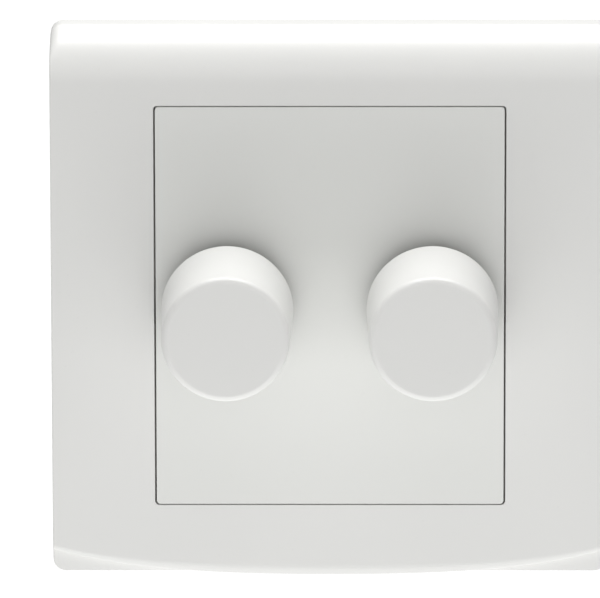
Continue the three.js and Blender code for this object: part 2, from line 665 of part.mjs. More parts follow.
for (const [side, sign] of [['left', -1], ['right', 1]]) {
  place(dimmer, `${side}_wall_screw`, wallScrew(), 'zincSteel', sign * WALL_SCREW.x);
  place(dimmer, `${side}_choke_core`, chokeCore(), 'ferrite', sign * CHOKE.x, 0, CHOKE.z);
  place(dimmer, `${side}_choke_winding`, chokeWinding(), 'copperWire', sign * CHOKE.x, 0, CHOKE.z);
  place(dimmer, `${side}_capacitor`, capacitor(), 'redFilm', sign * CAPACITOR.x, 0, CAPACITOR.z);
  place(dimmer, `${side}_triac`, triac(), 'blackMoulding', sign * TRIAC.x);
  place(dimmer, `${side}_triac_screw`, triacScrew(), 'zincSteel', sign * TRIAC.x, 0, TRIAC_SCREW.z);
  place(dimmer, `${side}_fuse`, fuse(), 'ceramic', sign * FUSE.x, FUSE.y, FUSE.z);

  const control = new THREE.Group();
  control.position.set(sign * CONTROL.x, 0, CONTROL.z);
  place(control, `${side}_knob`, knob(), 'whiteMoulding');
  place(control, `${side}_knob_clip`, knobClip(), 'springSteel');
  place(control, `${side}_shaft`, shaft(), 'zincSteel');
  place(control, `${side}_bush`, bush(), 'brass');
  place(control, `${side}_washer`, ring(WASHER.bore, WASHER.radius, WASHER.front, WASHER.rear), 'zincSteel');
  place(control, `${side}_nut`, nut(), 'zincSteel');
  place(control, `${side}_pot_case`, potCase(), 'zincSteel');
  place(control, `${side}_track`, track(), 'carbonTrack');
  place(control, `${side}_rotor`, rotor(), 'blackMoulding');
  place(control, `${side}_wiper`, wiper(), 'springSteel');
  place(control, `${side}_switch_case`, switchCase(), 'blueMoulding');
  place(control, `${side}_plunger`, plunger(), 'blackMoulding');
  place(control, `${side}_spring`, returnSpring(), 'springSteel');
  dimmer.add(control);
}

export default dimmer;
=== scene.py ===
# A two-gang rotary dimmer switch on a square wall plate, put together from the wall side forwards.
# The frame is in metres, +X right, +Z up, +Y into the wall. Sizes here are in millimetres.

from math import cos, pi, radians, sin, sqrt

import bmesh
import bpy
from mathutils import Matrix, Vector


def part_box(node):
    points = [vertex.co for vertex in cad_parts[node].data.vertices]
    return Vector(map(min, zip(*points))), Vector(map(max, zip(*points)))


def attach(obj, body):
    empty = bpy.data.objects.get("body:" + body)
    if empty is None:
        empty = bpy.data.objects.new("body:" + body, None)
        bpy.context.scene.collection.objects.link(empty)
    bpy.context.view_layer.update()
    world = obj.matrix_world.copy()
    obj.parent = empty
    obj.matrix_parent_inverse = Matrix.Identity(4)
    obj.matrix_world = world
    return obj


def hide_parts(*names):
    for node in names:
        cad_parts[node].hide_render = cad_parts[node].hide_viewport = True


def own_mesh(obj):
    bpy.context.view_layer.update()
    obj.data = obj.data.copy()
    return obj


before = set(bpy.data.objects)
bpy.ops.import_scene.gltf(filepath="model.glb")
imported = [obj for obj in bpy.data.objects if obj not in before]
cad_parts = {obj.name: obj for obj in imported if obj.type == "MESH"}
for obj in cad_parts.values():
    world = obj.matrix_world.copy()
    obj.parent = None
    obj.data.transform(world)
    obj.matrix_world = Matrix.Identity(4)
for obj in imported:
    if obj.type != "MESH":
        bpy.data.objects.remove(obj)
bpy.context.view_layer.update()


# ---------------------------------------------------------------------------------------------
# Rear housing. A deep box of pale grey, flame-retardant plastic that closes the control unit from
# behind, with a step for the terminals, cooling slots and four sunk screw holes. Injection moulded.

MM = 0.001


def span(name):
    """Lowest and highest corner of a CAD node, in millimetres."""
    low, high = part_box(name)
    return low / MM, high / MM


def cad_copy(name):
    """Merged copy of a CAD node in millimetres, with its flat faces whole again."""
    bm = bmesh.new()
    bm.from_mesh(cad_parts[name].data)
    bmesh.ops.scale(bm, vec=(1 / MM, 1 / MM, 1 / MM), verts=bm.verts)
    bmesh.ops.remove_doubles(bm, verts=bm.verts, dist=1e-3)
    bmesh.ops.dissolve_limit(bm, angle_limit=radians(0.5), use_dissolve_boundaries=False,
                             verts=bm.verts, edges=bm.edges)
    return bm


def ease_edges(bm, width, angle=40, segments=2, where=lambda edge: True):
    """Rounds the edges that turn by more than the angle."""
    sharp = [e for e in bm.edges
             if len(e.link_faces) == 2 and e.calc_face_angle() > radians(angle) and where(e)]
    bmesh.ops.bevel(bm, geom=sharp, offset=width, offset_type="OFFSET", segments=segments, profile=0.5,
                    affect="EDGES", clamp_overlap=True, material=-1)
    return bm


def piece(bm, name, finish, slot, *nodes, body="plate", smooth=35):
    """The mesh, in millimetres until now, as a finished piece that stands for its CAD nodes."""
    bmesh.ops.scale(bm, vec=(MM, MM, MM), verts=bm.verts)
    mesh = bpy.data.meshes.new(name)
    bm.to_mesh(mesh)
    bm.free()
    mesh.shade_smooth()
    mesh.set_sharp_from_angle(angle=radians(smooth))
    for coat in finish if isinstance(finish, tuple) else (finish,):
        mesh.materials.append(coat)
    made = bpy.data.objects.new(name, mesh)
    bpy.context.collection.objects.link(made)
    even = made.modifiers.new("even_shading", "WEIGHTED_NORMAL")
    even.keep_sharp = True
    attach(made, body)
    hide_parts(*nodes)
    return made


def node(tree, kind, settings=None, **inputs):
    """A shader node with its settings and its inputs, each a value or another node's socket."""
    made = tree.nodes.new(kind)
    for key, value in (settings or {}).items():
        setattr(made, key, value)
    for key, value in inputs.items():
        socket = made.inputs[key.replace("_", " ")]
        if isinstance(value, bpy.types.NodeSocket):
            tree.links.new(value, socket)
        else:
            socket.default_value = value
    return made


def shader_group(name, inputs, outputs):
    """A node group with named sockets, the sockets given to it and the sockets it gives out."""
    group = bpy.data.node_groups.new(name, "ShaderNodeTree")
    for label, kind, value in inputs:
        socket = group.interface.new_socket(label, in_out="INPUT", socket_type=kind)
        if value is not None:
            socket.default_value = value
    for label, kind in outputs:
        group.interface.new_socket(label, in_out="OUTPUT", socket_type=kind)
    return group, group.nodes.new("NodeGroupInput").outputs, group.nodes.new("NodeGroupOutput").inputs


def remap(tree, value, low, high, start=0.0, end=1.0):
    """The value's range from start to end, turned into low to high."""
    made = node(tree, "ShaderNodeMapRange", Value=value)
    for label, number in (("From Min", start), ("From Max", end), ("To Min", low), ("To Max", high)):
        made.inputs[label].default_value = number
    return made.outputs["Result"]


def mixed(tree, share, first, second):
    """Two colours, given as values or sockets, mixed by the share of the second."""
    made = node(tree, "ShaderNodeMix", {"data_type": "RGBA"}, Factor=share)
    for label, colour in (("A", first), ("B", second)):
        if isinstance(colour, bpy.types.NodeSocket):
            tree.links.new(colour, made.inputs[label])
        else:
            made.inputs[label].default_value = (*colour, 1)
    return made.outputs["Result"]


def moulding_group():
    """Moulded surface: a fine pebble grain, long flow waves and a few specks of dust."""
    group, given, out = shader_group(
        "moulding_surface",
        [("Vector", "NodeSocketVector", None), ("Grain", "NodeSocketFloat", 2500.0)],
        [("Height", "NodeSocketFloat"), ("Flow", "NodeSocketFloat"), ("Dust", "NodeSocketFloat")],
    )
    grain = node(group, "ShaderNodeTexNoise", Vector=given["Vector"], Scale=given["Grain"], Detail=2.0)
    flow = node(group, "ShaderNodeTexNoise", Vector=given["Vector"], Scale=38.0, Detail=3.0, Distortion=0.6)
    specks = node(group, "ShaderNodeTexVoronoi", Vector=given["Vector"], Scale=420.0)
    group.links.new(grain.outputs["Fac"], out["Height"])
    group.links.new(flow.outputs["Fac"], out["Flow"])
    group.links.new(remap(group, specks.outputs["Distance"], 1.0, 0.0, 0.03, 0.10), out["Dust"])
    return group


moulding_surface = moulding_group()


def material(name):
    """An empty material: itself, its tree, its Principled shader and its Object coordinates."""
    made = bpy.data.materials.new(name)
    made.use_nodes = True
    tree = made.node_tree
    return made, tree, tree.nodes["Principled BSDF"], node(tree, "ShaderNodeTexCoord").outputs["Object"]


def dress(tree, shader, colour, roughness, height, strength, depth=0.0002):
    """Connects a colour, a roughness and a bump height to the shader."""
    relief = node(tree, "ShaderNodeBump", Height=height, Strength=strength, Distance=depth)
    tree.links.new(colour, shader.inputs["Base Color"])
    tree.links.new(roughness, shader.inputs["Roughness"])
    tree.links.new(relief.outputs["Normal"], shader.inputs["Normal"])


MOULDING_GLOSS_DRIFT = 0.06


def moulded_plastic(name, light, dark, roughness, grain=2500.0, bump=0.02, dust=0.03,
                    dust_colour=(0.30, 0.28, 0.25)):
    """Moulded plastic that drifts between two close colours, with its grain in the gloss and the bump."""
    made, tree, shader, where = material(name)
    surface = node(tree, "ShaderNodeGroup", {"node_tree": moulding_surface}, Vector=where, Grain=grain)
    tone = mixed(tree, surface.outputs["Flow"], dark, light)
    share = remap(tree, surface.outputs["Dust"], 0.0, dust)
    gloss = remap(tree, surface.outputs["Flow"], roughness - MOULDING_GLOSS_DRIFT,
                  roughness + MOULDING_GLOSS_DRIFT)
    dress(tree, shader, mixed(tree, share, tone, dust_colour), gloss, surface.outputs["Height"], bump)
    return made


housing_plastic = moulded_plastic("housing_plastic", (0.60, 0.59, 0.56), (0.55, 0.54, 0.51), 0.46,
                                  grain=1500.0, bump=0.12, dust=0.25)
piece(ease_edges(cad_copy("rear_housing"), 0.3), "housing_moulding", housing_plastic,
      "grey_moulding", "rear_housing")


# ---------------------------------------------------------------------------------------------
# Circuit board. Phenolic paper laminate, sawn to fit round the housing's posts, with tinned copper
# tracks and solder joints on its rear side.

SOLDER_RADIUS = 0.9
SOLDER_RISE = 0.55
LEAD_RADIUS = 0.3
JOINT_SIDES = 16
TRACK_RISE = 0.06
BOARD_REAR = span("circuit_board")[1].y


def board_material():
    made, tree, shader, where = material("board_laminate")
    weave_a = node(tree, "ShaderNodeTexWave", {"bands_direction": "X"}, Vector=where, Scale=520.0,
                   Distortion=1.2)
    weave_b = node(tree, "ShaderNodeTexWave", {"bands_direction": "Z"}, Vector=where, Scale=520.0,
                   Distortion=1.2)
    weave = node(tree, "ShaderNodeMath", {"operation": "MULTIPLY"})
    tree.links.new(weave_a.outputs["Fac"], weave.inputs[0])
    tree.links.new(weave_b.outputs["Fac"], weave.inputs[1])
    blotch = node(tree, "ShaderNodeTexNoise", Vector=where, Scale=160.0, Detail=4.0)
    base = mixed(tree, blotch.outputs["Fac"], (0.26, 0.15, 0.055), (0.37, 0.23, 0.09))
    share = remap(tree, weave.outputs[0], 0.0, 0.35)
    dress(tree, shader, mixed(tree, share, base, (0.46, 0.31, 0.14)),
          remap(tree, blotch.outputs["Fac"], 0.35, 0.6), weave.outputs[0], 0.08)
    return made


def solder_material():
    made, tree, shader, where = material("tinned_solder")
    frost = node(tree, "ShaderNodeTexNoise", Vector=where, Scale=1400.0, Detail=3.0)
    shader.inputs["Metallic"].default_value = 1.0
    dress(tree, shader, mixed(tree, frost.outputs["Fac"], (0.52, 0.53, 0.54), (0.70, 0.71, 0.71)),
          remap(tree, frost.outputs["Fac"], 0.22, 0.5), frost.outputs["Fac"], 0.15)
    return made


def solder_joint(bm, x, z):
    """Half-round mound of solder with the cut lead standing in it."""
    rings = [[bm.verts.new((x + r * cos(2 * pi * i / JOINT_SIDES), BOARD_REAR + h,
                            z + r * sin(2 * pi * i / JOINT_SIDES))) for i in range(JOINT_SIDES)]
             for r, h in ((SOLDER_RADIUS, 0), (0.8 * SOLDER_RADIUS, 0.3 * SOLDER_RISE),
                          (0.45 * SOLDER_RADIUS, 0.85 * SOLDER_RISE), (LEAD_RADIUS, SOLDER_RISE),
                          (LEAD_RADIUS, 1.9 * SOLDER_RISE))]
    for low, high in zip(rings, rings[1:]):
        for i in range(JOINT_SIDES):
            after = (i + 1) % JOINT_SIDES
            bm.faces.new((low[i], low[after], high[after], high[i])).material_index = 1
    bm.faces.new(rings[-1]).material_index = 1
    bm.faces.new(rings[0][::-1]).material_index = 1


def copper_track(bm, start, end, width):
    """Flat tinned track between two joints."""
    along = (Vector(end) - Vector(start)).normalized() * width / 2
    across = Vector((-along.y, along.x))
    corners = [Vector(start) - along - across, Vector(end) + along - across,
               Vector(end) + along + across, Vector(start) - along + across]
    low = [bm.verts.new((c.x, BOARD_REAR - 0.01, c.y)) for c in corners]
    high = [bm.verts.new((c.x, BOARD_REAR + TRACK_RISE, c.y)) for c in corners]
    bm.faces.new(high).material_index = 1
    bm.faces.new(low[::-1]).material_index = 1
    for i in range(4):
        bm.faces.new((low[i], low[(i + 1) % 4], high[(i + 1) % 4], high[i])).material_index = 1


def circuit_board():
    bm = ease_edges(cad_copy("circuit_board"), 0.12)
    for mirror in (-1, 1):
        joints = [(5.96, 9.4), (8.5, 9.4), (11.04, 9.4), (12.3, 22.5), (12.3, 12.7), (5.5, -17.0),
                  (18.5, -17.0), (7.0, 5.0), (17.0, 5.0)]
        for x, z in joints:
            solder_joint(bm, mirror * x, z)
        routes = [((5.96, 9.4), (3.2, 4.0), 1.4), ((3.2, 4.0), (5.5, -17.0), 1.4),
                  ((8.5, 9.4), (12.3, 12.7), 1.2), ((11.04, 9.4), (17.0, 5.0), 1.2),
                  ((17.0, 5.0), (18.5, -17.0), 1.8), ((12.3, 22.5), (4.0, 22.5), 2.0)]
        for start, end, width in routes:
            copper_track(bm, (mirror * start[0], start[1]), (mirror * end[0], end[1]), width)
    bmesh.ops.recalc_face_normals(bm, faces=bm.faces)
    return piece(bm, "board_with_joints", (board_material(), solder_material()), "laminate", "circuit_board")


circuit_board()


# ---------------------------------------------------------------------------------------------
# Chokes. A pressed ring of iron powder, painted, on each channel, wound with one layer of enamelled
# copper wire whose turns lie close inside the ring and fan apart outside it.

WIRE_RADIUS = 0.3
CHOKE_TURNS = 24
CHOKE_MOUTH = radians(36)
STEPS_PER_TURN = 24
OUTER_SLACK = 0.3
INNER_SLACK = 1.4
SQUARENESS = 0.7


def tube(points, radius, sides):
    """Round wire along a list of points, with flat ends."""
    bm = bmesh.new()
    rings = []
    side = Vector((0, 1, 0))
    for i, point in enumerate(points):
        ahead = (points[min(i + 1, len(points) - 1)] - points[max(i - 1, 0)]).normalized()
        side = (side - ahead * side.dot(ahead)).normalized()
        other = ahead.cross(side)
        rings.append([bm.verts.new(point + radius * (cos(a) * side + sin(a) * other))
                      for a in (2 * pi * k / sides for k in range(sides))])
    for low, high in zip(rings, rings[1:]):
        for k in range(sides):
            bm.faces.new((low[k], low[(k + 1) % sides], high[(k + 1) % sides], high[k]))
    bm.faces.new(rings[0][::-1])
    bm.faces.new(rings[-1])
    bmesh.ops.recalc_face_normals(bm, faces=bm.faces)
    return bm


def enamel_material():
    made, tree, shader, where = material("enamelled_copper")
    streak = node(tree, "ShaderNodeTexNoise", Vector=where, Scale=900.0, Detail=3.0)
    shader.inputs["Metallic"].default_value = 1.0
    shader.inputs["Coat Weight"].default_value = 0.6
    shader.inputs["Coat Roughness"].default_value = 0.12
    dress(tree, shader, mixed(tree, streak.outputs["Fac"], (0.48, 0.17, 0.06), (0.72, 0.33, 0.14)),
          remap(tree, streak.outputs["Fac"], 0.18, 0.38), streak.outputs["Fac"], 0.05)
    return made


def core_material():
    made, tree, shader, where = material("painted_iron_powder")
    pores = node(tree, "ShaderNodeTexVoronoi", Vector=where, Scale=1700.0)
    worn = node(tree, "ShaderNodeTexNoise", Vector=where, Scale=260.0, Detail=4.0)
    tone = mixed(tree, worn.outputs["Fac"], (0.035, 0.075, 0.055), (0.07, 0.13, 0.10))
    dress(tree, shader, tone, remap(tree, worn.outputs["Fac"], 0.5, 0.75), pores.outputs["Distance"], 0.35)
    return made


iron_powder = core_material()
enamelled_copper = enamel_material()


def choke(side):
    core_low, core_high = span(f"{side}_choke_core")
    middle = (core_low + core_high) / 2
    low, high = span(f"{side}_choke_winding")
    piece(ease_edges(cad_copy(f"{side}_choke_core"), 0.4, segments=3), f"{side}_powder_ring", iron_powder,
          "iron_powder", f"{side}_choke_core")
    half, core_half = (high.x - low.x) / 2, (core_high.x - core_low.x) / 2
    outer = half - WIRE_RADIUS - OUTER_SLACK
    inner = outer - 2 * (half - core_half) - INNER_SLACK
    mean, reach = (outer + inner) / 2, (outer - inner) / 2
    rise = (high.y - low.y) / 2 - WIRE_RADIUS
    points = []
    steps = CHOKE_TURNS * STEPS_PER_TURN
    for i in range(steps + 1):
        bearing = pi / 2 + CHOKE_MOUTH / 2 + (2 * pi - CHOKE_MOUTH) * i / steps
        turn_angle = 2 * pi * i / STEPS_PER_TURN
        square = max(abs(cos(turn_angle)), abs(sin(turn_angle))) ** SQUARENESS
        radius = mean + reach * cos(turn_angle) / square
        points.append(Vector((middle.x + radius * cos(bearing), middle.y + rise * sin(turn_angle) / square,
                              middle.z + radius * sin(bearing))))
    piece(tube(points, WIRE_RADIUS, 8), f"{side}_wire_turns", enamelled_copper, "copper_wire",
          f"{side}_choke_winding", smooth=60)


for side in ("left", "right"):
    choke(side)


# ---------------------------------------------------------------------------------------------
# Capacitors. Metallised film blocks dipped in glossy red resin, which leaves soft edges and slight
# runs. Their wires are soldered through the board.

def resin_material():
    made, tree, shader, where = material("red_dipped_resin")
    runs = node(tree, "ShaderNodeTexNoise", Vector=where, Scale=110.0, Detail=2.0, Distortion=0.8)
    specks = node(tree, "ShaderNodeTexNoise", Vector=where, Scale=1500.0, Detail=2.0)
    shader.inputs["Coat Weight"].default_value = 0.4
    shader.inputs["Coat Roughness"].default_value = 0.1
    tone = mixed(tree, runs.outputs["Fac"], (0.20, 0.022, 0.012), (0.34, 0.045, 0.022))
    share = remap(tree, specks.outputs["Fac"], 0.0, 0.5, 0.55, 0.8)
    dress(tree, shader, mixed(tree, share, tone, (0.12, 0.012, 0.008)),
          remap(tree, runs.outputs["Fac"], 0.16, 0.34), runs.outputs["Fac"], 0.5, 0.0006)
    return made


red_resin = resin_material()
for side in ("left", "right"):
    piece(ease_edges(cad_copy(f"{side}_capacitor"), 1.1, segments=5), f"{side}_film_capacitor", red_resin,
          "red_film", f"{side}_capacitor")


# ---------------------------------------------------------------------------------------------
# Triacs. The power switches: a black moulded body on a tinned copper tab, with three legs bent back
# to the board. The tab is screwed to the heat sink.

TRIAC_TAB = 6.5
TRIAC_BODY = 9.0
legs_tin = solder_material()
triac_resin = moulded_plastic("triac_resin", (0.028, 0.028, 0.030), (0.018, 0.018, 0.020), 0.5,
                              grain=3200.0, bump=0.25, dust=0.15, dust_colour=(0.12, 0.12, 0.12))


def triac(side):
    high = span(f"{side}_triac")[1]
    neck = high.z - TRIAC_TAB
    foot = neck - TRIAC_BODY
    bm = ease_edges(cad_copy(f"{side}_triac"), 0.14)
    for face in bm.faces:
        centre = face.calc_center_median()
        in_body = foot - 0.05 <= centre.z <= neck + 0.05
        face.material_index = 0 if in_body else 1
    return piece(bm, f"{side}_power_triac", (triac_resin, legs_tin), "black_moulding", f"{side}_triac")


for side in ("left", "right"):
    triac(side)


# ---------------------------------------------------------------------------------------------
# Heat sink. A flat aluminium sheet behind the controls, blanked with holes for the bushes and the
# triac screws. It spreads the triacs' heat.

def metal_group():
    """Worked metal: fine streaks along one axis and scattered shallow scratches."""
    group, given, out = shader_group(
        "worked_metal",
        [("Vector", "NodeSocketVector", None), ("Stretch", "NodeSocketVector", (1.0, 1.0, 1.0))],
        [("Streak", "NodeSocketFloat"), ("Scratch", "NodeSocketFloat")],
    )
    pulled = node(group, "ShaderNodeVectorMath", {"operation": "MULTIPLY"})
    group.links.new(given["Vector"], pulled.inputs[0])
    group.links.new(given["Stretch"], pulled.inputs[1])
    streak = node(group, "ShaderNodeTexNoise", Vector=pulled.outputs[0], Scale=1200.0, Detail=4.0)
    bent = node(group, "ShaderNodeTexWave", Vector=given["Vector"], Scale=150.0, Distortion=22.0, Detail=2.0)
    group.links.new(streak.outputs["Fac"], out["Streak"])
    group.links.new(remap(group, bent.outputs["Fac"], 0.0, 1.0, 0.96, 1.0), out["Scratch"])
    return group


worked_metal = metal_group()


METAL_GLOSS_DRIFT = 0.1


def metal(name, light, dark, roughness, stretch=(1.0, 1.0, 1.0), bump=0.06):
    """Worked metal whose streaks run along the axis with the smallest stretch."""
    made, tree, shader, where = material(name)
    surface = node(tree, "ShaderNodeGroup", {"node_tree": worked_metal}, Vector=where, Stretch=stretch)
    shader.inputs["Metallic"].default_value = 1.0
    tone = mixed(tree, surface.outputs["Streak"], dark, light)
    share = remap(tree, surface.outputs["Scratch"], 0.0, 0.35)
    gloss = remap(tree, surface.outputs["Streak"], roughness - METAL_GLOSS_DRIFT,
                  roughness + METAL_GLOSS_DRIFT)
    dress(tree, shader, mixed(tree, share, tone, light), gloss, surface.outputs["Streak"], bump)
    return made


rolled_aluminium = metal("rolled_aluminium", (0.78, 0.78, 0.79), (0.62, 0.62, 0.63), 0.38, (0.06, 1.0, 1.0))
piece(ease_edges(cad_copy("heat_sink_plate"), 0.12), "heat_sink_sheet", rolled_aluminium, "aluminium",
      "heat_sink_plate")


# ---------------------------------------------------------------------------------------------
# Screws. Zinc-plated steel, rolled threads: crossed heads for the triacs, the housing and the wall
# box, and slotted heads for the terminals. Here the triacs' own.

THREAD_DEPTH = 0.16
THREAD_ROWS = 7
THREAD_END = 0.72
SCREW_SIDES = 40
HEAD_BULGE = 0.18
CROSS_REACH = 0.6
SLOT_MARGIN = 0.12
RECESS_TAPER = 0.82
zinc_plate = metal("zinc_plate", (0.80, 0.81, 0.82), (0.62, 0.64, 0.66), 0.26, (1.0, 0.3, 1.0), 0.04)


def recess_outline(half, reach, crossed):
    """Corners of a crossed recess, or of a slot right across the head."""
    if not crossed:
        return [(-reach, -half), (reach, -half), (reach, half), (-reach, half)]
    arm = [(reach, -half), (reach, half), (half, half), (half, reach)]
    turns = ((1, 0), (0, 1), (-1, 0), (0, -1))
    outline = []
    for c, s in turns:
        outline += [(x * c - z * s, x * s + z * c) for x, z in arm[:3]]
    return outline


def loop_of(bm, points, y):
    """Closed loop of edges at one depth, through x and z points."""
    verts = [bm.verts.new((x, y, z)) for x, z in points]
    return verts, [bm.edges.new((verts[i - 1], verts[i])) for i in range(len(verts))]


def screw(name, head, tip, head_depth, shank, pitch, slot_half, slot_depth, crossed, thread_from=0.0):
    """Screw along Y whose head ends at head and whose point ends at tip, standing for a CAD node."""
    low, high = span(name)
    middle = (low + high) / 2
    radius = (high.x - low.x) / 2
    back = 1 if head > tip else -1
    neck = head - back * head_depth
    bm = bmesh.new()
    around = [2 * pi * i / SCREW_SIDES for i in range(SCREW_SIDES)]
    bulge = HEAD_BULGE * head_depth
    rows = [(radius - 0.9 * bulge, head), (radius - 0.25 * bulge, head - back * 0.35 * bulge),
            (radius, head - back * 1.2 * bulge), (radius, neck + back * 0.1), (radius - 0.1, neck),
            (shank, neck)]
    length = abs(neck - tip)
    threaded = length * (1 - thread_from)
    steps = max(8, round(threaded / pitch * THREAD_ROWS))
    start = neck - back * (length - threaded)
    if thread_from:
        rows.append((shank, start))
    first_thread = len(rows)
    rows += [(shank, start + (tip - start) * i / steps) for i in range(1, steps + 1)]
    rings = []
    for k, (r, y) in enumerate(rows):
        ring = []
        for angle in around:
            reach = r
            if k >= first_thread:
                phase = (abs(y - start) / pitch - angle / (2 * pi)) % 1.0
                taper = min(1.0, abs(tip - y) / (1.5 * pitch))
                reach = shank - THREAD_DEPTH * 2 * abs(phase - 0.5)
                reach *= THREAD_END + (1 - THREAD_END) * taper
            ring.append(bm.verts.new((reach * cos(angle), y, reach * sin(angle))))
        rings.append(ring)
    for low_ring, high_ring in zip(rings, rings[1:]):
        for i in range(SCREW_SIDES):
            after = (i + 1) % SCREW_SIDES
            bm.faces.new((low_ring[i], low_ring[after], high_ring[after], high_ring[i]))
    bm.faces.new(rings[-1])
    reach = CROSS_REACH * radius if crossed else radius - 0.9 * bulge - SLOT_MARGIN
    outline = recess_outline(slot_half, reach, crossed)
    mouth, mouth_edges = loop_of(bm, outline, head)
    brim = [bm.edges.get((rings[0][i - 1], rings[0][i])) for i in range(SCREW_SIDES)]
    bmesh.ops.triangle_fill(bm, use_beauty=True, edges=brim + mouth_edges)
    floor = loop_of(bm, [(x * RECESS_TAPER, z * RECESS_TAPER) for x, z in outline],
                    head - back * slot_depth)[0]
    for i in range(len(outline)):
        bm.faces.new((mouth[i - 1], mouth[i], floor[i], floor[i - 1]))
    bm.faces.new(floor)
    bmesh.ops.recalc_face_normals(bm, faces=bm.faces)
    bmesh.ops.translate(bm, vec=(middle.x, 0, middle.z), verts=bm.verts)
    return piece(bm, f"{name}_threaded", zinc_plate, "zinc_steel", name, smooth=30)


for side in ("left", "right"):
    low, high = span(f"{side}_triac_screw")
    screw(f"{side}_triac_screw", high.y, low.y, head_depth=1.8, shank=1.3, pitch=0.5, slot_half=0.38,
          slot_depth=0.9, crossed=True)


# ---------------------------------------------------------------------------------------------
# Fuses. Ceramic tubes filled with sand, with a plated brass cap pressed on each end, soldered across
# the board's tracks.

def turned_solid(profile, steps=64):
    """Profile of (radius, y) points spun about the Y axis, open only where the profile is."""
    bm = bmesh.new()
    chain = [bm.verts.new((radius, y, 0)) for radius, y in profile]
    edges = [bm.edges.new(pair) for pair in zip(chain, chain[1:])]
    bmesh.ops.spin(bm, geom=chain + edges, cent=(0, 0, 0), axis=(0, 1, 0), angle=2 * pi, steps=steps,
                   use_merge=True, use_duplicate=False)
    bmesh.ops.remove_doubles(bm, verts=bm.verts, dist=1e-4)
    bmesh.ops.recalc_face_normals(bm, faces=bm.faces)
    return bm


def eased(profile, width=0.12):
    """The profile with each inner corner cut back on both sides, so that edges catch the light."""
    points = [Vector(p) for p in profile]
    out = [tuple(points[0])]
    for before, here, after in zip(points, points[1:], points[2:]):
        back, ahead = before - here, after - here
        cut = min(width, 0.4 * back.length, 0.4 * ahead.length)
        first, last = here + back.normalized() * cut, here + ahead.normalized() * cut
        out += [tuple(first), tuple((first + last) / 4 + here / 2), tuple(last)]
    return out + [tuple(points[-1])]


def ceramic_material():
    made, tree, shader, where = material("fuse_ceramic")
    body = node(tree, "ShaderNodeTexNoise", Vector=where, Scale=700.0, Detail=4.0)
    specks = node(tree, "ShaderNodeTexVoronoi", Vector=where, Scale=1600.0)
    tone = mixed(tree, body.outputs["Fac"], (0.66, 0.61, 0.50), (0.76, 0.72, 0.62))
    share = remap(tree, specks.outputs["Distance"], 0.5, 0.0, 0.05, 0.2)
    dress(tree, shader, mixed(tree, share, tone, (0.40, 0.34, 0.26)),
          remap(tree, body.outputs["Fac"], 0.3, 0.5), body.outputs["Fac"], 0.1)
    return made


FUSE_CAP = 2.2
CAP_STEP = 0.2
ceramic = ceramic_material()
cap_brass = metal("plated_cap", (0.80, 0.78, 0.72), (0.62, 0.60, 0.54), 0.24)


def fuse(side):
    low, high = span(f"{side}_fuse")
    middle = (low + high) / 2
    half = (high.x - low.x) / 2
    radius = (high.y - low.y) / 2
    cap = half - FUSE_CAP
    tube_radius = radius - CAP_STEP
    profile = eased([(0, -half), (radius, -half), (radius, -cap), (tube_radius, -cap), (tube_radius, cap),
                     (radius, cap), (radius, half), (0, half)], 0.25)
    bm = turned_solid(profile, 40)
    for face in bm.faces:
        face.material_index = 1 if abs(face.calc_center_median().y) > cap - 0.01 else 0
    bmesh.ops.rotate(bm, cent=(0, 0, 0), matrix=Matrix.Rotation(pi / 2, 3, "Z"), verts=bm.verts)
    bmesh.ops.translate(bm, vec=middle, verts=bm.verts)
    return piece(bm, f"{side}_ceramic_fuse", (ceramic, cap_brass), "ceramic", f"{side}_fuse")


for side in ("left", "right"):
    fuse(side)


# ---------------------------------------------------------------------------------------------
# Terminals. A white nylon block set in the housing's step, with a pressed brass cage and a slotted
# screw for each of the four wires. Wires go in from below.

terminal_nylon = moulded_plastic("terminal_nylon", (0.74, 0.73, 0.68), (0.68, 0.67, 0.62), 0.42,
                                 grain=1900.0, bump=0.1, dust=0.2)
cage_brass = metal("cage_brass", (0.83, 0.63, 0.26), (0.60, 0.42, 0.15), 0.30, (1.0, 0.2, 1.0), 0.08)
piece(ease_edges(cad_copy("terminal_block"), 0.2), "terminal_moulding", terminal_nylon,
      "terminal_moulding", "terminal_block")
for i in range(1, 5):
    piece(ease_edges(cad_copy(f"terminal_clamp_{i}"), 0.18, segments=3), f"terminal_cage_{i}", cage_brass,
          "brass", f"terminal_clamp_{i}")
    low, high = span(f"terminal_screw_{i}")
    screw(f"terminal_screw_{i}", high.y, low.y, head_depth=2.1, shank=1.5, pitch=0.6, slot_half=0.4,
          slot_depth=1.0, crossed=False)


# ---------------------------------------------------------------------------------------------
# Potentiometers. A round pressed steel can on each axis holds a ring of carbon film. A black disc
# turns with the shaft and drags a spring leaf round the film.

def carbon_material():
    made, tree, shader, where = material("carbon_film")
    swirl = node(tree, "ShaderNodeTexNoise", Vector=where, Scale=2200.0, Detail=4.0)
    shader.inputs["Metallic"].default_value = 0.1
    dress(tree, shader, mixed(tree, swirl.outputs["Fac"], (0.010, 0.010, 0.010), (0.05, 0.046, 0.042)),
          remap(tree, swirl.outputs["Fac"], 0.5, 0.8), swirl.outputs["Fac"], 0.2)
    return made


def place_on(bm, name):
    """Moves a mesh made round the Y axis onto the axis of a CAD node."""
    low, high = span(name)
    bmesh.ops.translate(bm, vec=((low.x + high.x) / 2, 0, (low.z + high.z) / 2), verts=bm.verts)
    return bm


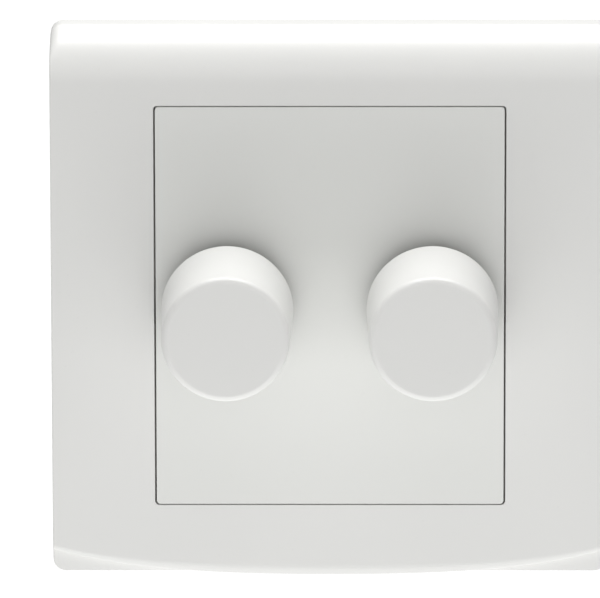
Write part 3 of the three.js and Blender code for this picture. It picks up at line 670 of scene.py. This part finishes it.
CAN_WALL = 0.8
CAN_REAR_WALL = 0.6
CAN_MOUTH = 4.6
CAN_REAR_HOLE = 3.5
carbon_film = carbon_material()
pressed_zinc = metal("pressed_zinc", (0.74, 0.75, 0.76), (0.58, 0.60, 0.62), 0.34, (1.0, 0.5, 1.0), 0.05)
rotor_nylon = moulded_plastic("rotor_nylon", (0.035, 0.035, 0.038), (0.022, 0.022, 0.025), 0.42,
                              bump=0.1, dust=0.1, dust_colour=(0.15, 0.15, 0.15))
leaf_steel = metal("leaf_steel", (0.70, 0.71, 0.73), (0.50, 0.51, 0.54), 0.24, (1.0, 1.0, 0.1), 0.04)


def potentiometer(side):
    low, high = span(f"{side}_pot_case")
    radius = (high.x - low.x) / 2
    inside, front_wall, rear_wall = radius - CAN_WALL, low.y + CAN_WALL, high.y - CAN_REAR_WALL
    profile = eased([(CAN_MOUTH, front_wall), (CAN_MOUTH, low.y), (radius, low.y), (radius, high.y),
                     (CAN_REAR_HOLE, high.y), (CAN_REAR_HOLE, rear_wall), (inside, rear_wall),
                     (inside, front_wall), (CAN_MOUTH, front_wall)], 0.3)
    piece(place_on(turned_solid(profile), f"{side}_pot_case"), f"{side}_pressed_can", pressed_zinc,
          "zinc_steel", f"{side}_pot_case")
    piece(ease_edges(cad_copy(f"{side}_track"), 0.05, segments=1), f"{side}_carbon_ring", carbon_film,
          "carbon_track", f"{side}_track")
    piece(ease_edges(cad_copy(f"{side}_rotor"), 0.15), f"{side}_rotor_disc", rotor_nylon,
          "black_moulding", f"{side}_rotor", body=f"{side}_rotor_body")
    piece(ease_edges(cad_copy(f"{side}_wiper"), 0.05, angle=20), f"{side}_wiper_leaf", leaf_steel,
          "spring_steel", f"{side}_wiper", body=f"{side}_rotor_body")


for side in ("left", "right"):
    potentiometer(side)


# ---------------------------------------------------------------------------------------------
# Push switches. A blue moulded cup behind each potentiometer, worked by a black plunger that the
# shaft pushes in and a coil spring of bare steel wire returns.

SPRING_TURNS = 3.5
SPRING_WIRE = 0.25
SPRING_RADIUS = 3.2
SPRING_STEPS = 36
CUP_MOUTH = 3.5
CUP_WALL = 0.8
CUP_SIDE = 1
PLUNGER_DISC = 1.45
PLUNGER_PIN = 1.6
switch_plastic = moulded_plastic("switch_plastic", (0.035, 0.11, 0.30), (0.026, 0.085, 0.24), 0.36,
                                 bump=0.08, dust=0.15)


def spring_points(middle, front, rear):
    """Centre line of a compression spring whose end turns lie flat."""
    steps = round(SPRING_TURNS * SPRING_STEPS)
    points = []
    for i in range(steps + 1):
        t = i / steps
        eased_t = t * t * (3 - 2 * t)
        angle = 2 * pi * SPRING_TURNS * t
        points.append(Vector((middle.x + SPRING_RADIUS * cos(angle), front + (rear - front) * eased_t,
                              middle.z + SPRING_RADIUS * sin(angle))))
    return points


def push_switch(side):
    low, high = span(f"{side}_switch_case")
    radius = (high.x - low.x) / 2
    inside, front_wall, rear_wall = radius - CUP_SIDE, low.y + CUP_WALL, high.y - CUP_WALL
    profile = eased([(CUP_MOUTH, front_wall), (CUP_MOUTH, low.y), (radius, low.y), (radius, high.y),
                     (0, high.y)], 0.35)
    profile += eased([(0, rear_wall), (inside, rear_wall), (inside, front_wall), (CUP_MOUTH, front_wall)],
                     0.2)
    shell = turned_solid(profile)
    piece(place_on(shell, f"{side}_switch_case"), f"{side}_switch_cup", switch_plastic, "blue_moulding",
          f"{side}_switch_case")
    low, high = span(f"{side}_plunger")
    radius = (high.x - low.x) / 2
    disc_rear = low.y + PLUNGER_DISC
    profile = eased([(0, low.y), (radius, low.y), (radius, disc_rear), (PLUNGER_PIN, disc_rear),
                     (PLUNGER_PIN, high.y), (0, high.y)], 0.2)
    piece(place_on(turned_solid(profile), f"{side}_plunger"), f"{side}_plunger_disc", rotor_nylon,
          "black_moulding", f"{side}_plunger", body=f"{side}_push_body")
    low, high = span(f"{side}_spring")
    middle = (low + high) / 2
    low, high = low.y + SPRING_WIRE, high.y - SPRING_WIRE
    coil = piece(tube(spring_points(middle, low, high), SPRING_WIRE, 10), f"{side}_coil_spring", leaf_steel,
                 "spring_steel", f"{side}_spring", smooth=60)
    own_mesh(coil)


for side in ("left", "right"):
    push_switch(side)


# ---------------------------------------------------------------------------------------------
# Shafts and bushes. Each shaft is turned steel with a flat for the knob and another for the rotor.
# It turns and slides in a threaded brass bush that clamps the sheet under a washer and a nut.

THREAD_PITCH = 0.75
RIDGE_STEPS = 6
SHAFT_RADIUS = 3
SHAFT_FLAT = 1.6
KNOB_FLAT_END = -11.5
ROTOR_FLAT_START = 1.6
COLLAR_RADIUS = 4
COLLAR_FRONT = 0.55
COLLAR_REAR = 1.5
BUSH_BORE = 3.1
BUSH_NOSE = 4.6
BUSH_THREAD = 5.0
BUSH_THREAD_END = -0.95
FLANGE_RADIUS = 7.0
FLANGE_FRONT = -0.7
WASHER_BORE = 5.15
WASHER_RADIUS = 6.6
turned_brass = metal("turned_brass", (0.84, 0.66, 0.30), (0.66, 0.48, 0.18), 0.22, (1.0, 0.15, 1.0), 0.05)


def ridged(front, rear, radius, pitch, depth):
    """Profile of a row of ridges, as a thread looks from the side."""
    rows = round((rear - front) / pitch * RIDGE_STEPS)
    return [(radius - depth * abs(2 * ((i / RIDGE_STEPS) % 1.0) - 1), front + (rear - front) * i / rows)
            for i in range(rows + 1)]


def shaft_and_bush(side):
    low, high = span(f"{side}_shaft")
    stem = [(SHAFT_RADIUS, y) for y in (low.y, KNOB_FLAT_END - 0.1, KNOB_FLAT_END + 0.1, COLLAR_FRONT)]
    collar = [(COLLAR_RADIUS, COLLAR_FRONT), (COLLAR_RADIUS, COLLAR_REAR)]
    tail = [(SHAFT_RADIUS, y) for y in (COLLAR_REAR, ROTOR_FLAT_START + 0.1, high.y)]
    bm = turned_solid(eased([(0, low.y), *stem, *collar, *tail, (0, high.y)], 0.15), 72)
    for vert in bm.verts:
        in_knob = vert.co.y < KNOB_FLAT_END
        in_rotor = vert.co.y > ROTOR_FLAT_START
        if (in_knob or in_rotor) and vert.co.x > SHAFT_FLAT:
            vert.co.x = SHAFT_FLAT
    bm = place_on(bm, f"{side}_shaft")
    piece(bm, f"{side}_turned_shaft", zinc_plate, "zinc_steel", f"{side}_shaft", body=f"{side}_knob_body")

    low, high = span(f"{side}_bush")
    profile = [(BUSH_BORE, high.y - 0.1), (BUSH_BORE, low.y + 0.15), (BUSH_BORE + 0.15, low.y),
               (BUSH_NOSE, low.y)]
    profile += ridged(low.y + 0.3, BUSH_THREAD_END, BUSH_THREAD, THREAD_PITCH, 0.35)
    profile += [(BUSH_THREAD, FLANGE_FRONT), (FLANGE_RADIUS - 0.15, FLANGE_FRONT),
                (FLANGE_RADIUS, FLANGE_FRONT + 0.15), (FLANGE_RADIUS, high.y - 0.15),
                (FLANGE_RADIUS - 0.15, high.y), (BUSH_BORE + 0.1, high.y), (BUSH_BORE, high.y - 0.1)]
    piece(place_on(turned_solid(profile), f"{side}_bush"), f"{side}_threaded_bush", turned_brass, "brass",
          f"{side}_bush")

    low, high = span(f"{side}_washer")
    profile = eased([(WASHER_BORE, low.y + 0.3), (WASHER_BORE, low.y), (WASHER_RADIUS, low.y),
                     (WASHER_RADIUS, high.y), (WASHER_BORE, high.y), (WASHER_BORE, low.y + 0.3)], 0.1)
    piece(place_on(turned_solid(profile), f"{side}_washer"), f"{side}_flat_washer", zinc_plate, "zinc_steel",
          f"{side}_washer")
    piece(ease_edges(cad_copy(f"{side}_nut"), 0.25, angle=50), f"{side}_hexagon_nut", zinc_plate,
          "zinc_steel", f"{side}_nut")


for side in ("left", "right"):
    shaft_and_bush(side)


# ---------------------------------------------------------------------------------------------
# Support base. A pale grey moulded tray that sits on the wall box, with a raised ring round the
# centre panel, a pocket over each screw lug and bosses for the housing's screws.

# The base's light, warm tint is partly its own colour and partly painted light. It stands in for the warm
# light that bleeds through the translucent urea into the gaps round the centre panel.
base_plastic = moulded_plastic("base_plastic", (0.78, 0.75, 0.69), (0.73, 0.70, 0.64), 0.44,
                               grain=1700.0, bump=0.1, dust=0.2)
piece(ease_edges(cad_copy("support_base"), 0.2), "base_moulding", base_plastic, "grey_moulding",
      "support_base")


# ---------------------------------------------------------------------------------------------
# Housing screws. Four long thread-forming screws go in from behind, through the housing's corner
# posts and into the base's bosses.

for i in range(1, 5):
    low, high = span(f"housing_screw_{i}")
    screw(f"housing_screw_{i}", high.y, low.y, head_depth=1.6, shank=1.1, pitch=0.9, slot_half=0.38,
          slot_depth=0.9, crossed=True, thread_from=0.55)


# ---------------------------------------------------------------------------------------------
# Wall screws. Two M3.5 machine screws hold the base to the wall box's lugs, 60.3 mm apart.

for side in ("left", "right"):
    low, high = span(f"{side}_wall_screw")
    screw(f"{side}_wall_screw", low.y, high.y, head_depth=2.2, shank=1.75, pitch=0.6, slot_half=0.42,
          slot_depth=1.0, crossed=True)


# ---------------------------------------------------------------------------------------------
# Front frame. The square outer moulding in glossy white urea, with a rolled top edge and a lower
# edge that bows down like a smile. It snaps over the base on four small hooks.

frame_low, frame_high = span("front_frame")
PLATE_HALF = frame_high.x
PLATE_FRONT = frame_low.y
PLATE_TOP = frame_high.z
PLATE_BOTTOM = PLATE_TOP - 2 * PLATE_HALF
PLATE_CORNER = 2.0
PLATE_MIDDLE = (PLATE_TOP + PLATE_BOTTOM) / 2
white_urea = moulded_plastic("white_urea", (0.80, 0.80, 0.785), (0.785, 0.786, 0.772), 0.36)

ROLL_RADIUS = 8.6
ROLL_START = 35.2
ROLL_SWEEP = radians(68)
ROLL_STEPS = 18
LIP_STEPS = 12
SHOULDER = -3.3
SMILE_LOW = frame_low.z + 0.01
SMILE_CURVE = 0.00108
SMILE_RISE = 6.2e-7
SMILE_DEPTH = 0.55
SMILE_HEIGHT = 1.9
SMILE_HEIGHT_AT_SIDE = 0.9
FACET_TOP = (-7.95, -37.7)
FACET_FOOT = -7.6
EDGE_FILLET = 0.2
OPENING_HALF = (27.1, 31.7)
OPENING_CORNER = 0.6
OPENING_EASE = 0.07
CORNER_START = (37.5, 40.2)
SKIN = 1.5
WALL = 1.8
LEDGE = -4.2
CAVITY_TAPER = 0.88
HOOK_PLACE = 20
HOOK_WIDTH = 7.8
HOOK_WALL = 41.2
HOOK_REACH = 1.1
HOOK_LEAD = 0.5
HOOK_ROOT = 0.4
HOOK_DEPTHS = (-1.6, -0.6)


def smile(x):
    """Height of the bowed lower edge."""
    return SMILE_LOW + SMILE_CURVE * x**2 + SMILE_RISE * x**4


def side_profile(x):
    """Points from the rear top edge, over the front, to the rear bottom edge: y, z and their normal."""
    points = [(0.0, PLATE_TOP, 0, 1), (SHOULDER / 2, PLATE_TOP, 0, 1), (SHOULDER + 0.25, PLATE_TOP, 0, 1)]
    centre_y = PLATE_FRONT + ROLL_RADIUS
    blend = radians(80)
    points.append((SHOULDER - 0.06, PLATE_TOP - 0.03, -cos(blend), sin(blend)))
    for i in range(ROLL_STEPS + 1):
        angle = ROLL_SWEEP * (1 - i / ROLL_STEPS)
        y = centre_y - ROLL_RADIUS * cos(angle)
        z = ROLL_START + ROLL_RADIUS * sin(angle)
        points.append((y, z, -cos(angle), sin(angle)))
    rows = [33.2, OPENING_HALF[1], 20, 8, -8, -20, -OPENING_HALF[1], -33.5]
    points += [(PLATE_FRONT, z, -1, 0) for z in rows]
    edge = smile(x)
    height = SMILE_HEIGHT + (SMILE_HEIGHT_AT_SIDE - SMILE_HEIGHT) * (x / PLATE_HALF) ** 2
    for i in range(LIP_STEPS + 1):
        angle = (pi / 2) * (i / LIP_STEPS)
        y = PLATE_FRONT + SMILE_DEPTH * (1 - cos(angle))
        z = edge + height * (1 - sin(angle))
        points.append((y, z, -cos(angle), -sin(angle)))
    slope = (FACET_FOOT - FACET_TOP[0]) / (FACET_TOP[1] - PLATE_BOTTOM)
    root = min(FACET_FOOT, FACET_TOP[0] + slope * (FACET_TOP[1] - edge))
    tuck = max(edge, PLATE_BOTTOM)
    points.append((root, edge, 0, -1))
    points.append((root, min(edge + 0.02, tuck), -1, 0))
    foot = max(PLATE_BOTTOM, min(tuck, PLATE_BOTTOM + EDGE_FILLET))
    points.append((FACET_FOOT, foot, -1, 0))
    points.append((FACET_FOOT + EDGE_FILLET * 0.3, PLATE_BOTTOM + (foot - PLATE_BOTTOM) * 0.3, -0.7, -0.7))
    points.append((FACET_FOOT + EDGE_FILLET, PLATE_BOTTOM, 0, -1))
    points.append((-3.0, PLATE_BOTTOM, 0, -1))
    points.append((0.0, PLATE_BOTTOM, 0, -1))
    return points


def ramp(value, start, end):
    """0 before start, 1 after end, smooth between."""
    t = max(0.0, min(1.0, (value - start) / (end - start)))
    return t * t * (3 - 2 * t)


def frame_columns():
    """X of each column: close together at the rounded corners and the edges of the opening."""
    corner = [PLATE_HALF - PLATE_CORNER * (1 - sin(radians(a))) for a in (0, 15, 30, 45, 57, 67, 76, 84, 90)]
    flank = [OPENING_HALF[0] + t for t in (1.5, 5, 8.5, 11)]
    inner = [OPENING_HALF[0] * i / 9 for i in range(10)]
    half = inner + flank + corner
    return [-x for x in reversed(half[1:])] + half


def front_frame():
    columns = frame_columns()
    rows = len(side_profile(0))
    bm = bmesh.new()
    bmesh.ops.create_grid(bm, x_segments=len(columns) - 1, y_segments=rows - 1, size=1)
    for vert in bm.verts:
        x = columns[round((vert.co.x + 1) / 2 * (len(columns) - 1))]
        y, z, ny, nz = side_profile(x)[round((1 - vert.co.y) / 2 * (rows - 1))]
        over = max(0.0, abs(x) - (PLATE_HALF - EDGE_FILLET))
        inset = EDGE_FILLET - sqrt(max(0.0, EDGE_FILLET**2 - over**2))
        past = max(0.0, abs(x) - (PLATE_HALF - PLATE_CORNER))
        drop = PLATE_CORNER - sqrt(max(0.0, PLATE_CORNER**2 - past**2))
        z -= drop * ramp(z, CORNER_START[0], PLATE_TOP) - drop * ramp(-z, CORNER_START[1], -PLATE_BOTTOM)
        at_wall = abs(y) < 1e-9
        vert.co = (x, y if at_wall else y - inset * ny, z - inset * nz)
    hole = [f for f in bm.faces if all(
        abs(v.co.x) < OPENING_HALF[0] + 1e-6 and abs(v.co.z) < OPENING_HALF[1] + 1e-6 for v in f.verts)]
    bmesh.ops.delete(bm, geom=hole, context="FACES")

    # Side walls, straight back to the wall.
    flanks = [e for e in bm.edges if e.is_boundary and all(abs(v.co.x) > PLATE_HALF - 1e-6 for v in e.verts)]
    made = bmesh.ops.extrude_edge_only(bm, edges=flanks)["geom"]
    for vert in (g for g in made if isinstance(g, bmesh.types.BMVert)):
        vert.co.y = 0
    bmesh.ops.remove_doubles(bm, verts=bm.verts, dist=1e-4)

    # Rim against the wall, cavity behind the skin and the edge of the opening.
    rim = [e for e in bm.edges if e.is_boundary and all(abs(v.co.y) < 1e-6 for v in e.verts)]
    inner = (PLATE_HALF - WALL) / PLATE_HALF
    steps_in = ((inner, 0, -PLATE_MIDDLE), (1, LEDGE, 0), (CAVITY_TAPER, PLATE_FRONT + SKIN, 0))
    for scale, depth, lift in steps_in:
        made = bmesh.ops.extrude_edge_only(bm, edges=rim)["geom"]
        for vert in (g for g in made if isinstance(g, bmesh.types.BMVert)):
            vert.co.x *= scale
            vert.co.z = (vert.co.z + lift) * scale
            vert.co.y = depth
        rim = [g for g in made if isinstance(g, bmesh.types.BMEdge) and g.is_boundary]
    lip = [e for e in bm.edges if e.is_boundary and e not in set(rim)]
    made = bmesh.ops.extrude_edge_only(bm, edges=lip)["geom"]
    for vert in (g for g in made if isinstance(g, bmesh.types.BMVert)):
        vert.co.y = PLATE_FRONT + SKIN
    throat = [g for g in made if isinstance(g, bmesh.types.BMEdge) and g.is_boundary]
    bmesh.ops.triangle_fill(bm, use_beauty=True, edges=rim + throat)
    corners = [e for e in bm.edges if all(
        abs(abs(v.co.x) - OPENING_HALF[0]) < 1e-6 and abs(abs(v.co.z) - OPENING_HALF[1]) < 1e-6
        for v in e.verts)]
    bmesh.ops.bevel(bm, geom=corners, offset=OPENING_CORNER, offset_type="OFFSET", segments=4, profile=0.5,
                    affect="EDGES", clamp_overlap=True, material=-1)
    brink = [e for e in bm.edges if len(e.link_faces) == 2 and e.calc_face_angle() > radians(60) and all(
        abs(v.co.y - PLATE_FRONT) < 1e-6 and abs(v.co.x) < OPENING_HALF[0] + 1e-3
        and abs(v.co.z) < OPENING_HALF[1] + 1e-3 for v in e.verts)]
    bmesh.ops.bevel(bm, geom=brink, offset=OPENING_EASE, offset_type="OFFSET", segments=2, profile=0.5,
                    affect="EDGES", clamp_overlap=True, material=-1)
    bmesh.ops.recalc_face_normals(bm, faces=bm.faces)

    # Snap hooks on the top and bottom walls, with a sloped lead-in.
    for x in (-HOOK_PLACE, HOOK_PLACE):
        for side in (-1, 1):
            hook = bmesh.ops.create_cube(bm, size=1)["verts"]
            for vert in hook:
                rear = vert.co.y > 0
                tip = HOOK_LEAD if rear else HOOK_REACH
                reach = tip if vert.co.z > 0 else -HOOK_ROOT
                vert.co = (x + vert.co.x * HOOK_WIDTH, HOOK_DEPTHS[rear], side * (HOOK_WALL - reach))
    bmesh.ops.recalc_face_normals(bm, faces=bm.faces)
    return piece(bm, "front_frame_moulding", white_urea, "white_moulding", "front_frame")


front_frame()


# ---------------------------------------------------------------------------------------------
# Centre panel. A flat white urea insert that drops into the opening flush with the frame, with a
# skirt behind it and a clearance hole for each control.

panel_urea = moulded_plastic("panel_urea", (0.795, 0.80, 0.78), (0.78, 0.787, 0.765), 0.38)
piece(ease_edges(cad_copy("centre_panel"), 0.12, where=lambda e: e.verts[0].co.y < PLATE_FRONT + 0.01),
      "centre_panel_moulding", panel_urea, "white_moulding", "centre_panel")


# ---------------------------------------------------------------------------------------------
# Knobs. Plain white cups with a rounded front edge, moulded with a hub that is a push fit on the
# shaft's flat. A clip of sprung steel round the hub keeps its grip.

KNOB_FILLET = 1.1
KNOB_WALL = 1.6
KNOB_FACE = 2.0
KNOB_TAPER = 0.4
KNOB_DOME = 0.05
RIM_EASE = 0.25
HUB_SET_BACK = 0.8
HUB_FLOOR = 3
INNER_EASE = 0.4
HUB_EASE = 0.3
HUB_RADIUS = 4.5
HUB_BORE = 3.1
HUB_FLAT = 1.7
knob_urea = moulded_plastic("knob_urea", (0.80, 0.80, 0.785), (0.785, 0.786, 0.772), 0.34)


def arc(centre, radius, start, end, steps):
    """Points on an arc in a profile, angles in degrees from +radius towards +y."""
    angles = [radians(start + (end - start) * i / steps) for i in range(steps + 1)]
    return [(centre[0] + radius * cos(a), centre[1] + radius * sin(a)) for a in angles]


def knob(side):
    low, high = span(f"{side}_knob")
    front, rear = low.y, high.y
    outer = (high.x - low.x) / 2
    face = outer - KNOB_TAPER
    inside = front + KNOB_FACE
    hub_rear = rear - HUB_SET_BACK
    profile = [(0, front), (face * 0.5, front + 0.3 * KNOB_DOME)]
    profile += arc((face - KNOB_FILLET, front + KNOB_DOME + KNOB_FILLET), KNOB_FILLET, -90, -2, 10)
    profile += [(outer - 0.01, rear - RIM_EASE - 0.05)]
    profile += arc((outer - RIM_EASE, rear - RIM_EASE), RIM_EASE, 0, 90, 3)
    profile += arc((outer - KNOB_WALL + RIM_EASE, rear - RIM_EASE), RIM_EASE, 90, 180, 3)
    profile += [(face - KNOB_WALL, inside + INNER_EASE), (face - KNOB_WALL - INNER_EASE, inside),
                (HUB_RADIUS + INNER_EASE, inside), (HUB_RADIUS, inside + INNER_EASE),
                (HUB_RADIUS, hub_rear - HUB_EASE), (HUB_RADIUS - HUB_EASE, hub_rear),
                (HUB_BORE + HUB_EASE, hub_rear), (HUB_BORE, hub_rear - HUB_EASE),
                (HUB_BORE, front + HUB_FLOOR), (0, front + HUB_FLOOR)]
    bm = turned_solid(profile, 128)
    for vert in bm.verts:
        if vert.co.xz.length < HUB_BORE + 0.1 and vert.co.y > front + HUB_FLOOR - 0.1:
            vert.co.x = min(vert.co.x, HUB_FLAT)
    piece(place_on(bm, f"{side}_knob"), f"{side}_knob_moulding", knob_urea, "white_moulding", f"{side}_knob",
          body=f"{side}_knob_body")
    piece(ease_edges(cad_copy(f"{side}_knob_clip"), 0.08), f"{side}_sprung_clip", leaf_steel, "spring_steel",
          f"{side}_knob_clip", body=f"{side}_knob_body")


for side in ("left", "right"):
    knob(side)


# ---------------------------------------------------------------------------------------------
# Studio. A pale floor well below and a pale surround. Broad soft lights overhead and behind keep the
# knobs and the rolled edge bright, and weaker ones in front and from below open the flat faces.

CAMERA_DISTANCE = 1.5
CAMERA_AZIMUTH = radians(-0.27)
CAMERA_ELEVATION = radians(14.13)
CAMERA_ROLL = radians(-0.106)
CAMERA_LENS = 584
CAMERA_AIM = Vector((-0.00461, PLATE_FRONT * MM, PLATE_MIDDLE * MM))
CAMERA_LIFT = 0.00087
FLOOR_DROP = 0.6
FLOOR_HALF = 12
FLOOR_GLOW = 0.72
SKY_GLOW = 0.15

camera = bpy.data.objects.new("camera", bpy.data.cameras.new("camera"))
camera.data.lens = CAMERA_LENS
camera.data.clip_end = 30
forward = Vector((sin(CAMERA_AZIMUTH) * cos(CAMERA_ELEVATION), cos(CAMERA_AZIMUTH) * cos(CAMERA_ELEVATION),
                  -sin(CAMERA_ELEVATION)))
rightward = Vector((cos(CAMERA_AZIMUTH), -sin(CAMERA_AZIMUTH), 0))
upward = rightward.cross(forward)
plate_middle = Vector((0, CAMERA_AIM.y, CAMERA_AIM.z))
camera.location = plate_middle - forward * CAMERA_DISTANCE
aim = plate_middle + rightward * CAMERA_AIM.x + upward * CAMERA_LIFT
camera.rotation_mode = "QUATERNION"
look = (aim - camera.location).to_track_quat("-Z", "Y")
camera.rotation_quaternion = look @ Matrix.Rotation(CAMERA_ROLL, 4, "Z").to_quaternion()
bpy.context.collection.objects.link(camera)
bpy.context.scene.camera = camera


def studio_light(name, place, target, size, watts, colour):
    light = bpy.data.lights.new(name, "AREA")
    light.shape = "RECTANGLE"
    light.size, light.size_y = size
    light.energy = watts
    light.color = colour
    made = bpy.data.objects.new(name, light)
    made.location = place
    made.rotation_mode = "QUATERNION"
    made.rotation_quaternion = (Vector(target) - Vector(place)).to_track_quat("-Z", "Y")
    made.visible_camera = False
    bpy.context.collection.objects.link(made)
    return made


NEUTRAL = (1.0, 0.998, 0.99)
CLEAR = (1.0, 1.0, 0.99)
MIDDLE = (0, 0, 0)
studio_light("overhead", (0, 0.1, 0.5), MIDDLE, size=(0.5, 0.3), watts=0.7, colour=NEUTRAL)
studio_light("overhead_front", (0, -0.03, 0.5), (0, -0.02, 0), size=(0.4, 0.1), watts=2.1, colour=NEUTRAL)
studio_light("back_high", (0, 0.3, 0.45), MIDDLE, size=(0.6, 0.3), watts=0.4, colour=CLEAR)
studio_light("front", (0, -0.55, 0.12), MIDDLE, size=(0.5, 0.3), watts=0.46, colour=NEUTRAL)
studio_light("low", (0, -0.20, -0.20), MIDDLE, size=(0.3, 0.1), watts=0.19, colour=CLEAR)
studio_light("front_low", (0, -0.30, -0.09), MIDDLE, size=(0.22, 0.12), watts=0.02, colour=CLEAR)

floor_mesh = bpy.data.meshes.new("floor")
bm = bmesh.new()
bmesh.ops.create_grid(bm, x_segments=1, y_segments=1, size=FLOOR_HALF)
bmesh.ops.translate(bm, vec=(0, 0, -FLOOR_DROP), verts=bm.verts)
bm.to_mesh(floor_mesh)
bm.free()
floor = bpy.data.objects.new("floor", floor_mesh)
bpy.context.collection.objects.link(floor)
floor_paint, floor_tree, floor_shader = material("floor_paint")[:3]
floor_shader.inputs["Base Color"].default_value = (0.9, 0.9, 0.9, 1)
floor_shader.inputs["Roughness"].default_value = 0.9
floor_shader.inputs["Emission Color"].default_value = (1, 1, 0.995, 1)
seen = node(floor_tree, "ShaderNodeLightPath").outputs["Is Camera Ray"]
floor_tree.links.new(remap(floor_tree, seen, FLOOR_GLOW, 1.0), floor_shader.inputs["Emission Strength"])
floor_mesh.materials.append(floor_paint)

world = bpy.data.worlds.new("studio")
world.use_nodes = True
bpy.context.scene.world = world
sky = world.node_tree
backdrop = sky.nodes["Background"]
backdrop.inputs["Color"].default_value = (1, 1, 1, 1)
sky_seen = node(sky, "ShaderNodeLightPath").outputs["Is Camera Ray"]
sky.links.new(remap(sky, sky_seen, SKY_GLOW, 1.0), backdrop.inputs["Strength"])
bpy.context.scene.view_settings.view_transform = "Standard"
